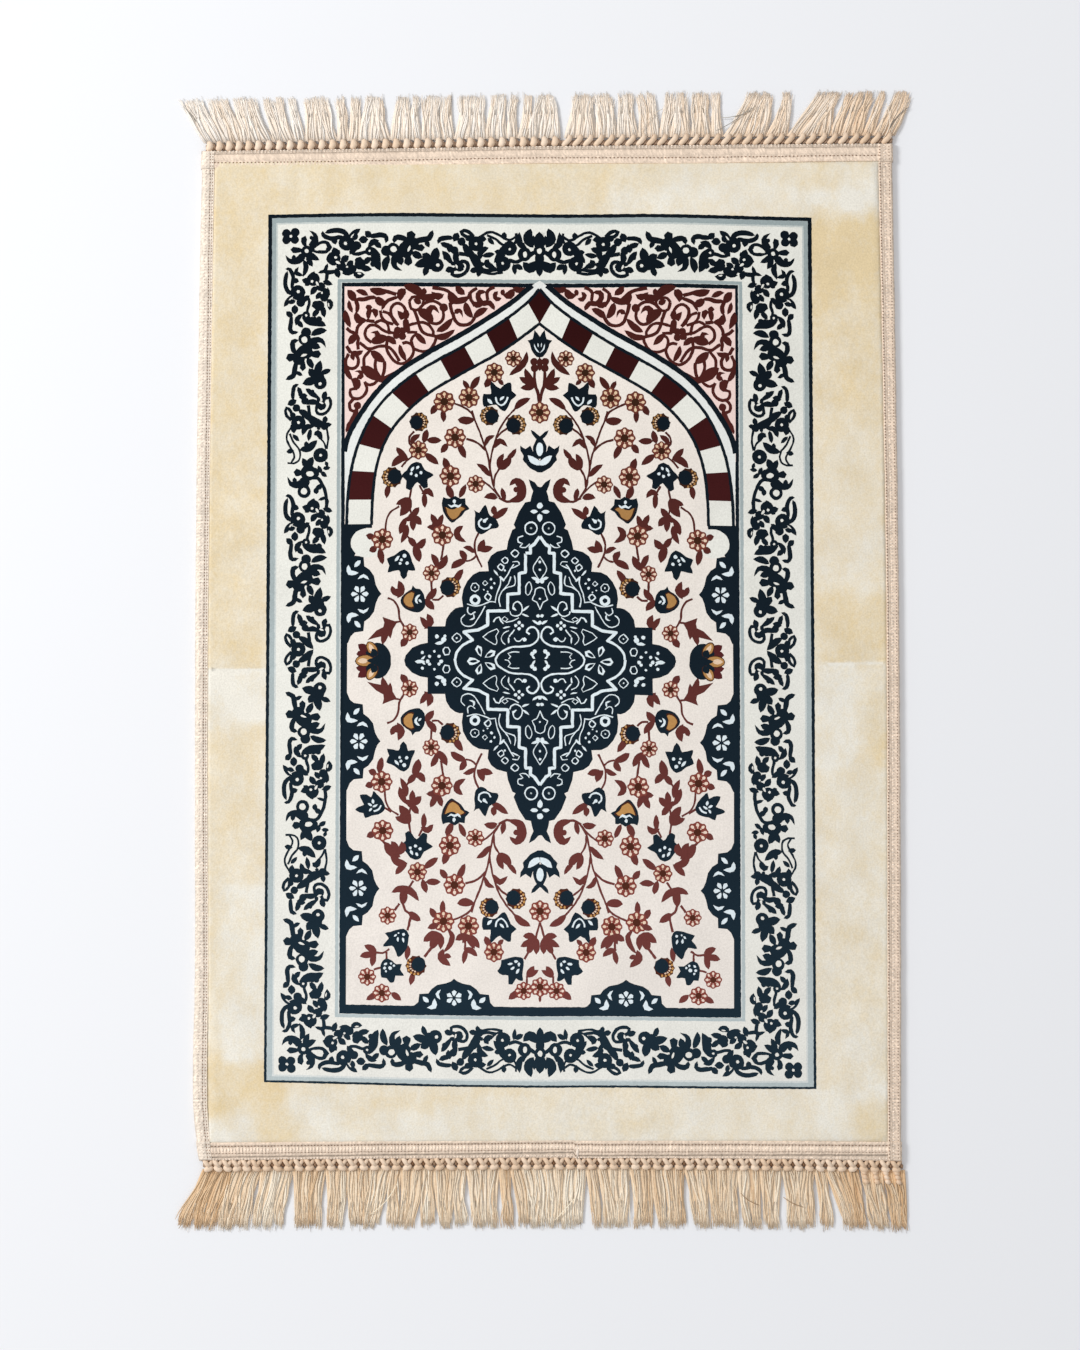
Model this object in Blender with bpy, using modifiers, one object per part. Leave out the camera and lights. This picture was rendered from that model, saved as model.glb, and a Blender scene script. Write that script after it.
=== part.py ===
"""Prayer rug, lying flat: a printed plush cloth with a folded binding tape along each long side,
and a folded heading tape with a tasselled fringe at each end.

Metres. +Z is up, +Y runs towards the end where the arch points, and the rug lies on z = 0.
The origin is the middle of the rug's outline, fringes included.
"""

import math
from collections import namedtuple

import bmesh
import bpy

COLLECTION_NAME = "prayer_rug"

# The rug over its tapes
BODY_WIDTH = 0.700
BODY_LENGTH = 1.012
HALF_WIDTH = BODY_WIDTH / 2
HALF_LENGTH = BODY_LENGTH / 2

# How far each fringe reaches past its heading, and how wide both fan out
TOP_FRINGE_REACH = 0.058
BOTTOM_FRINGE_REACH = 0.070
FRINGE_HALF_SPREAD = 0.370
BODY_MIDDLE_Y = (BOTTOM_FRINGE_REACH - TOP_FRINGE_REACH) / 2

# The uneven outline in which the rug lies
SIDE_BOW = 0.003
TOP_SLANT = 0.002
BOTTOM_ARCH = 0.0015

# Folded tapes
TAPE_THICKNESS = 0.0012
TAPE_HEIGHT = 0.0060
TAPE_ROUND = 0.0024
TAPE_ROUND_STEPS = 3
BINDING_DEPTH = 0.013
HEADING_DEPTH = 0.018
BINDING_SECTIONS = 16
HEADING_SECTIONS = 12

# Plush cloth
CLEARANCE = 0.0003
PILE_HEIGHT = 0.0062
PILE_RISE = 0.0025
UNDERSIDE_RISE = 0.008
SWELL_HEIGHT = 0.0004
CREASE_Y = -0.0125
CREASE_DEPTH = 0.0008
CREASE_HALF_WIDTH = 0.006
CLOTH_CELLS_ACROSS = 12
CLOTH_CELLS_ALONG = 21

# Fringe
TASSELS = 65
FRINGE_HEIGHT = 0.0045
FRINGE_SPINE = 0.002
FRINGE_BACK_STEPS = 16
FAN_POWER = 6
TRIM_UNEVENNESS = 0.002
TASSEL_STRAY = 0.0012

TasselSection = namedtuple("TasselSection", "share_of_length half_width")
TASSEL_SECTIONS = (
    TasselSection(share_of_length=0.00, half_width=0.0022),
    TasselSection(share_of_length=0.16, half_width=0.0034),
    TasselSection(share_of_length=1.00, half_width=0.0038),
)

Finish = namedtuple("Finish", "color roughness")
PLUSH = Finish(color=(0.86, 0.80, 0.66), roughness=0.90)
TAPE = Finish(color=(0.88, 0.74, 0.62), roughness=0.85)
YARN = Finish(color=(0.85, 0.71, 0.57), roughness=0.60)


def clear_scene():
    for obj in list(bpy.data.objects):
        bpy.data.objects.remove(obj, do_unlink=True)


def new_collection(name):
    collection = bpy.data.collections.new(name)
    bpy.context.scene.collection.children.link(collection)
    return collection


def finish_piece(obj, finish, collection):
    """Gives the piece its own material and puts it in the rug's collection."""
    material = bpy.data.materials.new(obj.name + "_material")
    material.use_nodes = True
    shader = material.node_tree.nodes["Principled BSDF"]
    shader.inputs["Base Color"].default_value = (*finish.color, 1.0)
    shader.inputs["Roughness"].default_value = finish.roughness
    shader.inputs["Metallic"].default_value = 0.0
    obj.data.materials.append(material)
    collection.objects.link(obj)


def clamped(value, lowest, highest):
    return max(lowest, min(highest, value))


def laid(x, y, z):
    """Where a point of the straight-edged rug comes to lie, with bowed sides and uneven ends."""
    across = clamped(x / HALF_WIDTH, -1.0, 1.0)
    along = clamped((y - BODY_MIDDLE_Y) / HALF_LENGTH, -1.0, 1.0)
    out = across * SIDE_BOW * math.cos(along * math.pi / 2)
    if along > 0:
        drift = TOP_SLANT * across * along**2
    else:
        drift = BOTTOM_ARCH * math.cos(across * math.pi / 2) * along**2
    return (x + out, y + drift, z)


# The plush cloth


def cloth_lines(half_size, tape_depth, cells, extra=()):
    """The grid lines one way across the cloth: its edge, the tape's mouth, where the pile has
    risen and where the underside has come down, then even steps, and any extra lines."""
    mouth = half_size - tape_depth - CLEARANCE
    bends = [half_size - TAPE_ROUND, mouth, mouth - PILE_RISE, mouth - UNDERSIDE_RISE]
    innermost = bends[-1]
    even = [innermost * (2 * step / cells - 1) for step in range(1, cells)]
    return sorted([*bends, *(-bend for bend in bends), *even, *extra])


def pile_top(x, y):
    """The height of the brushed pile, with its slow swells and the fold's crease across it."""
    swell = math.sin(19 * x + 7 * y + 0.6) * math.cos(13 * y - 5 * x)
    crease = math.exp(-(((y - CREASE_Y) / CREASE_HALF_WIDTH) ** 2))
    return PILE_HEIGHT + SWELL_HEIGHT * swell - CREASE_DEPTH * crease


def make_cloth(name):
    """A flat sheet, thinner and a little raised where it is tucked into the folded tapes."""
    crease_lines = [CREASE_Y + CREASE_HALF_WIDTH * step for step in (-2, -1, 0, 1, 2)]
    xs = cloth_lines(HALF_WIDTH, BINDING_DEPTH, CLOTH_CELLS_ACROSS)
    ys = cloth_lines(HALF_LENGTH, HEADING_DEPTH, CLOTH_CELLS_ALONG, crease_lines)
    tucked_underside = TAPE_THICKNESS + CLEARANCE
    tucked_top = TAPE_HEIGHT - tucked_underside

    def out_of_tapes(x, y, rise):
        """0 in the tapes, and 1 from this rise inside their mouths."""
        from_binding = HALF_WIDTH - BINDING_DEPTH - CLEARANCE - abs(x)
        from_heading = HALF_LENGTH - HEADING_DEPTH - CLEARANCE - abs(y)
        return clamped(min(from_binding, from_heading) / rise, 0.0, 1.0)

    def top_height(x, y):
        return tucked_top + (pile_top(x, y) - tucked_top) * out_of_tapes(x, y, PILE_RISE)

    def underside_height(x, y):
        return tucked_underside * (1 - out_of_tapes(x, y, UNDERSIDE_RISE))

    bm = bmesh.new()
    columns = len(xs) - 1
    rows = len(ys) - 1
    bmesh.ops.create_grid(bm, x_segments=columns, y_segments=rows, size=1.0)
    extruded = bmesh.ops.extrude_face_region(bm, geom=bm.faces[:])
    upper = {item for item in extruded["geom"] if isinstance(item, bmesh.types.BMVert)}
    for vert in bm.verts:
        x = xs[round((vert.co.x + 1) / 2 * columns)]
        y = ys[round((vert.co.y + 1) / 2 * rows)]
        height = top_height(x, y) if vert in upper else underside_height(x, y)
        vert.co = laid(x, y + BODY_MIDDLE_Y, height)
    bmesh.ops.recalc_face_normals(bm, faces=bm.faces[:])
    mesh = bpy.data.meshes.new(name)
    bm.to_mesh(mesh)
    bm.free()
    return bpy.data.objects.new(name, mesh)


# The folded tapes


def tape_profile(depth):
    """The outer face of a tape folded over an edge, as (distance in from the edge, height):
    from its top hem, round the edge, to its lower hem."""
    upper = []
    for step in range(TAPE_ROUND_STEPS + 1):
        turn = step / TAPE_ROUND_STEPS * math.pi / 2
        inward = TAPE_ROUND * (1 - math.sin(turn))
        height = TAPE_HEIGHT - TAPE_ROUND * (1 - math.cos(turn))
        upper.append((inward, height))
    lower = [(inward, TAPE_HEIGHT - height) for inward, height in reversed(upper)]
    return [(depth, TAPE_HEIGHT), *upper, *lower, (depth, 0.0)]


def make_folded_tape(name, depth, sections, place):
    """A strip of tape folded over an edge. place(inward, share) gives the point of the
    straight-edged rug that lies this far in from the edge, at this share of its length."""
    profile = tape_profile(depth)
    columns = len(profile) - 1
    bm = bmesh.new()
    bmesh.ops.create_grid(bm, x_segments=columns, y_segments=sections, size=1.0)
    for vert in bm.verts:
        inward, height = profile[round((vert.co.x + 1) / 2 * columns)]
        share = (vert.co.y + 1) / 2
        vert.co = laid(*place(inward, share), height)
    bmesh.ops.recalc_face_normals(bm, faces=bm.faces[:])
    mesh = bpy.data.meshes.new(name)
    bm.to_mesh(mesh)
    bm.free()
    obj = bpy.data.objects.new(name, mesh)
    wall = obj.modifiers.new("tape_wall", "SOLIDIFY")
    wall.thickness = TAPE_THICKNESS
    wall.offset = -1.0
    wall.use_even_offset = True
    return obj


def make_binding(name, side):
    """side is -1 on the left and 1 on the right."""
    half_run = HALF_LENGTH - HEADING_DEPTH - CLEARANCE

    def place(inward, share):
        return (side * (HALF_WIDTH - inward), BODY_MIDDLE_Y + side * half_run * (2 * share - 1))

    return make_folded_tape(name, BINDING_DEPTH, BINDING_SECTIONS, place)


def make_heading(name, end):
    """end is 1 at the arch end and -1 at the foot."""

    def place(inward, share):
        x = -end * HALF_WIDTH * (2 * share - 1)
        return (x, BODY_MIDDLE_Y + end * (HALF_LENGTH - inward))

    return make_folded_tape(name, HEADING_DEPTH, HEADING_SECTIONS, place)


# The fringes


def tassel_roots():
    """Where the middle of each tassel's root lies across the rug, evenly spaced."""
    pitch = BODY_WIDTH / TASSELS
    return [pitch * (n - (TASSELS - 1) / 2) for n in range(TASSELS)]


def tassel_tips(end, reach):
    """Where the middle of each tassel's tip lies, from left to right. The tassels near the
    corners fan out, the rest stray a little, and their trimmed ends aren't quite level."""
    roots = tassel_roots()
    fan = FRINGE_HALF_SPREAD - TASSEL_SECTIONS[-1].half_width - roots[-1]
    trims = [TRIM_UNEVENNESS * math.sin(2.3 * n + end) for n in range(TASSELS)]
    tips = []
    for n, (root_x, trim) in enumerate(zip(roots, trims)):
        share = root_x / roots[-1]
        lean = fan * math.copysign(abs(share) ** FAN_POWER, share)
        stray = TASSEL_STRAY * math.sin(1.7 * n + end) * (1 - share**2)
        tip_y = BODY_MIDDLE_Y + end * (HALF_LENGTH + reach - trim + min(trims))
        tips.append((root_x + lean + stray, tip_y))
    return tips


def make_fringe(name, end, reach):
    """One comb: a narrow spine along the heading, and a tooth for each knotted tassel."""
    back_y = BODY_MIDDLE_Y + end * (HALF_LENGTH + CLEARANCE)
    spine_y = back_y + end * FRINGE_SPINE
    outline = []
    for step in range(FRINGE_BACK_STEPS + 1):
        x = HALF_WIDTH * (1 - 2 * step / FRINGE_BACK_STEPS)
        outline.append(laid(x, back_y, 0.0)[:2])
    for root_x, (tip_x, tip_y) in zip(tassel_roots(), tassel_tips(end, reach)):
        start_x, start_y, _ = laid(root_x, spine_y, 0.0)
        left = []
        right = []
        for section in TASSEL_SECTIONS:
            x = start_x + (tip_x - start_x) * section.share_of_length
            y = start_y + (tip_y - start_y) * section.share_of_length
            left.append((x - section.half_width, y))
            right.append((x + section.half_width, y))
        outline += [*left, *reversed(right)]

    curve = bpy.data.curves.new(name, "CURVE")
    curve.dimensions = "2D"
    curve.fill_mode = "BOTH"
    curve.extrude = FRINGE_HEIGHT / 2
    spline = curve.splines.new("POLY")
    spline.points.add(len(outline) - 1)
    for point, (x, y) in zip(spline.points, outline):
        point.co = (x, y, 0.0, 1.0)
    spline.use_cyclic_u = True
    obj = bpy.data.objects.new(name, curve)
    obj.location.z = FRINGE_HEIGHT / 2
    return obj


def build_rug():
    clear_scene()
    rug = new_collection(COLLECTION_NAME)
    finish_piece(make_cloth("pile_cloth"), PLUSH, rug)
    finish_piece(make_binding("binding_left", -1), TAPE, rug)
    finish_piece(make_binding("binding_right", 1), TAPE, rug)
    finish_piece(make_heading("heading_top", 1), TAPE, rug)
    finish_piece(make_heading("heading_bottom", -1), TAPE, rug)
    finish_piece(make_fringe("fringe_top", 1, TOP_FRINGE_REACH), YARN, rug)
    finish_piece(make_fringe("fringe_bottom", -1, BOTTOM_FRINGE_REACH), YARN, rug)


build_rug()
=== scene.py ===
import math
import random
from collections import namedtuple

import bmesh
import bpy
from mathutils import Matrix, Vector, geometry, noise


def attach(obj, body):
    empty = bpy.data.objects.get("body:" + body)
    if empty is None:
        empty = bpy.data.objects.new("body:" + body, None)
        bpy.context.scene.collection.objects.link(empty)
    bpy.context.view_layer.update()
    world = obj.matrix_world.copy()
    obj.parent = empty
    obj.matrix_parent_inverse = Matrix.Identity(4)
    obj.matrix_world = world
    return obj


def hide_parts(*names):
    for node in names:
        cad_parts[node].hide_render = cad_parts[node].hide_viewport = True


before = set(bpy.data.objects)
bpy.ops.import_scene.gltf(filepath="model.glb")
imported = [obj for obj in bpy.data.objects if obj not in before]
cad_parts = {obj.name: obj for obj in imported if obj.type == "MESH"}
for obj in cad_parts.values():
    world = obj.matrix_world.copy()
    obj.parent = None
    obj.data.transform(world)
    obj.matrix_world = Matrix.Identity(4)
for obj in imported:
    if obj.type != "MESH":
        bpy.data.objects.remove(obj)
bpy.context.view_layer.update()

# ---------------------------------------------------------------- pile cloth
# One rectangle of short plush pile on a woven backing, printed with an arch,
# a medallion and a flowered border inside a plain margin. It lies flat with a
# fold mark across its middle, and its four sides are tucked into the tapes.

BODY_HALF_WIDTH = 0.3488
BODY_HALF_LENGTH = 0.5073
BODY_MIDDLE_Y = 0.006
SIDE_BOW = 0.003
SIDE_TAPER = 0.002
TOP_SLANT = 0.002
LEFT_SLANTS_MORE = 2.1
BOTTOM_ARCH = 0.0015
NEAR_DIP = 0.0024
NEAR_CORNER = 0.86
CORNER_SHARE = 0.14
CORNER_TUCK = 0.0052
NEAR_FLARE = 0.0030
FLARE_SPREAD = 0.16
FAR_FLARE = 0.0020
BINDING_DEPTH = 0.013
HEADING_DEPTH = 0.018
PILE_HEIGHT = 0.0062
SWELL_HEIGHT = 0.0004
FOLD_MARK_Y = -0.01235
FOLD_MARK_SLOPE = 0.0082
FOLD_MARK_DEPTH = 0.0007
FOLD_MARK_HALF_WIDTH = 0.005


def laid(x, y, z):
    """Where a point of the flat, true body comes to lie: sides a little bowed, ends not quite square."""
    across = max(-1.0, min(1.0, x / BODY_HALF_WIDTH))
    along = max(-1.0, min(1.0, (y - BODY_MIDDLE_Y) / BODY_HALF_LENGTH))
    out = across * (SIDE_BOW * math.cos(along * math.pi / 2) - SIDE_TAPER * max(along, 0) ** 2)
    out += FAR_FLARE * max(0.0, across) ** 6 * max(0.0, along) ** 2
    if along > 0:
        drift = TOP_SLANT * across * (LEFT_SLANTS_MORE if across < 0 else 1.0) * along**2
    else:
        drift = (BOTTOM_ARCH * math.cos(across * math.pi / 2) - NEAR_DIP * max(across, 0) ** 2) * along**2
        tuck = CORNER_TUCK * max(0.0, (-along - NEAR_CORNER) / CORNER_SHARE) ** 2
        flare = NEAR_FLARE * math.exp(-(((along + NEAR_CORNER) / FLARE_SPREAD) ** 2))
        out += max(0.0, -across) ** 6 * (tuck - flare)
    return Vector((x + out, y + drift, z))


def pile_top(x, y):
    """Height of the brushed pile, with its slight swells and the fold mark."""
    swell = math.sin(19 * x + 7 * y + 0.6) * math.cos(13 * y - 5 * x)
    from_fold = (y - FOLD_MARK_Y - FOLD_MARK_SLOPE * x) / FOLD_MARK_HALF_WIDTH
    return PILE_HEIGHT + SWELL_HEIGHT * swell - FOLD_MARK_DEPTH * math.exp(-(from_fold**2))


# The print is drawn as it is seen, x to the right and y down, about one
# millimetre to each step, with the medallion's centre at MIDDLE. The far end
# looks smaller, and flat() takes that out.
MIDDLE = (540.3, 661.3)
SEEN_ACROSS = 0.998
NARROWER_FAR_OFF = 0.000019
SHORTER_FAR_OFF = 0.0000195


def flat(x, y):
    """Millimetres across and up from the medallion's centre, for a place as it is seen."""
    u, v = x - MIDDLE[0], MIDDLE[1] - y
    return Vector((u * (SEEN_ACROSS + NARROWER_FAR_OFF * v), v + SHORTER_FAR_OFF * v * v))


# Dyes as they look at the arch end and at the near end, where they are lighter,
# and how the change between them is bent along the rug.
NAVY = ((0.052, 0.086, 0.116), (0.110, 0.174, 0.218), 1.2)
WINE = ((0.168, 0.048, 0.048), (0.490, 0.225, 0.235), 1.1)
LEAF_WINE = ((0.204, 0.078, 0.062), (0.448, 0.240, 0.224), 0.65)
SCROLL_WINE = ((0.264, 0.116, 0.098), (0.450, 0.200, 0.190), 0.9)
WINE_LINE = ((0.345, 0.180, 0.130), (0.540, 0.270, 0.235), 0.6)
IVORY = ((0.898, 0.897, 0.862), (0.910, 0.905, 0.875), 1.0)
WHITE = ((0.862, 0.905, 0.915), (0.885, 0.928, 0.945), 1.0)
FIELD_IVORY = ((0.922, 0.890, 0.850), (0.922, 0.893, 0.862), 1.0)
BAND_WHITE = ((0.890, 0.898, 0.880), (0.915, 0.925, 0.915), 1.0)
ROSE = ((0.940, 0.838, 0.806), (0.950, 0.868, 0.842), 1.0)
CREAM = ((0.905, 0.790, 0.680), (0.930, 0.850, 0.790), 1.0)
GILT = ((0.870, 0.750, 0.610), (0.920, 0.820, 0.730), 1.0)
GOLD = ((0.600, 0.445, 0.265), (0.800, 0.600, 0.360), 1.0)
BROWN = ((0.180, 0.112, 0.065), (0.330, 0.170, 0.125), 0.8)
GREY_BLUE = ((0.608, 0.655, 0.655), (0.720, 0.762, 0.765), 1.0)
GREY_FADE = ((0.765, 0.790, 0.775), (0.835, 0.852, 0.842), 1.0)
MARGIN = ((0.890, 0.830, 0.710), (0.895, 0.855, 0.775), 1.0)


def smooth_run(run, spacing=2.9, fewest=4):
    """Points along a smooth curve through the given ones."""
    knots = [Vector(run[i : i + 2]) for i in range(0, len(run), 2)]
    ends = [2 * knots[0] - knots[1], *knots, 2 * knots[-1] - knots[-2]]
    least = math.ceil(fewest / (len(knots) - 1))
    found = [knots[0]]
    for before, a, b, after in zip(ends, ends[1:], ends[2:], ends[3:]):
        steps = max(least, round((b - a).length / spacing))
        for n in range(1, steps + 1):
            t = n / steps
            bend = 2 * before - 5 * a + 4 * b - after
            twist = 3 * a - before - 3 * b + after
            found.append(0.5 * (2 * a + (b - before) * t + bend * t * t + twist * t**3))
    return found


# How a brush stroke swells and thins from its start to its end.
SWELLS = {
    "leaf": (0.75, 0.8),
    "horn": (0.2, 0.9),
    "petal": (0.9, 0.3),
    "bar": (0.25, 0.25),
    "line": (0.0, 0.0),
}


def stroke(art, colour, kind, width, *run):
    """One brush stroke through the points of its run, as wide as width at its fullest."""
    rise, fall = SWELLS[kind]
    middle = smooth_run(run)
    last = len(middle) - 1
    fullest = 1.0
    if rise:
        peak = rise / (rise + fall)
        fullest = peak**rise * (1 - peak) ** fall
    rails = []
    for n, spot in enumerate(middle):
        ahead = middle[min(n + 1, last)] - middle[max(n - 1, 0)]
        side = Vector((-ahead.y, ahead.x)).normalized()
        share = n / last
        half = width / 2 * share**rise * (1 - share) ** fall / fullest
        rails.append((spot + side * half, spot - side * half))
    for (a, b), (c, d) in zip(rails, rails[1:]):
        art.append((colour, [flat(*p) for p in (a, b, d)]))
        art.append((colour, [flat(*p) for p in (a, d, c)]))


def patch(art, colour, *outline):
    """A filled shape with straight sides between its corners."""
    corners = [flat(*outline[i : i + 2]) for i in range(0, len(outline), 2)]
    art.append((colour, corners))


def rounded(art, colour, *outline):
    """A filled shape with a smooth outline through the given points."""
    run = smooth_run(outline + outline[:2], 3.0)[:-1]
    art.append((colour, [flat(*p) for p in run]))


def oval(art, colour, x, y, long, short, turn=0.0, sides=None):
    """A filled oval, its long half along the turn."""
    sides = sides or max(5, min(14, round(1.7 * (long + short))))
    c, s = math.cos(math.radians(turn)), math.sin(math.radians(turn))
    corners = []
    for n in range(sides):
        a = 2 * math.pi * n / sides
        p, q = long * math.cos(a), short * math.sin(a)
        corners.append(flat(x + p * c - q * s, y + p * s + q * c))
    art.append((colour, corners))


def loop(art, colour, width, *run):
    """A thin line that closes on itself."""
    stroke(art, colour, "line", width, *run, *run[:2])


def draw(art, colour, chart, fuller=0.0):
    """Draws the rows of a chart: the kind of mark, its width, and the places it runs through."""
    for kind, width, *run in chart:
        width += fuller if kind != "disc" else fuller / 2
        if kind == "disc":
            oval(art, colour, *run, width, width)
        elif kind == "oval":
            oval(art, colour, run[0], run[1], width, run[2], run[3])
        elif kind == "loop":
            loop(art, colour, width, *run)
        elif kind == "fill":
            rounded(art, colour, *run)
        elif kind == "cut":
            patch(art, colour, *run)
        else:
            stroke(art, colour, kind, width, *run)


def mirrored(art, across=False, along=None):
    """The shapes with their copies on the other side of the rug's length, or of a line across it."""
    copies = []
    for colour, corners in art:
        if across:
            copies.append((colour, [Vector((-p.x, p.y)) for p in corners]))
        if along is not None:
            copies.append((colour, [Vector((p.x, 2 * along - p.y)) for p in corners]))
    return art + copies


# Ground of the print: an outer line, grey-blue bands that fade inward, the
# ivory border, and the inner frame with the field inside.
FRAME_MIDDLE = 15.0
FIELD_MIDDLE = 1.2
ground = []


def band(colour, half_width, half_length, low=None, flare=0.0):
    """A rectangle of the print's frame, over what lies under it, wider by its flare at the near end."""
    bottom = FRAME_MIDDLE - half_length if low is None else low
    top = FRAME_MIDDLE + half_length
    corners = []
    near = half_width + flare
    sides = ((-near, bottom), (near, bottom), (half_width, top), (-half_width, top))
    for start, end in zip(sides, sides[1:] + sides[:1]):
        start, end = Vector(start), Vector(end)
        steps = round((end - start).length / 2.4)
        corners += [start.lerp(end, n / steps) for n in range(steps)]
    ground.append((colour, corners))


band(NAVY, 274.6, 437.8, low=-422.4)
band(GREY_BLUE, 270.6, 434.2, low=-420.2, flare=1.4)
band(GREY_FADE, 266.4, 429.2, low=-416.2)
band(IVORY, 264.8, 427.5, low=-414.4)
band(GREY_BLUE, 204.4, 370.8)
band(GREY_FADE, 201.2, 367.6)
band(NAVY, 200.0, 367.1)
band(FIELD_IVORY, 196.4, 363.0, low=-343.0)

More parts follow.
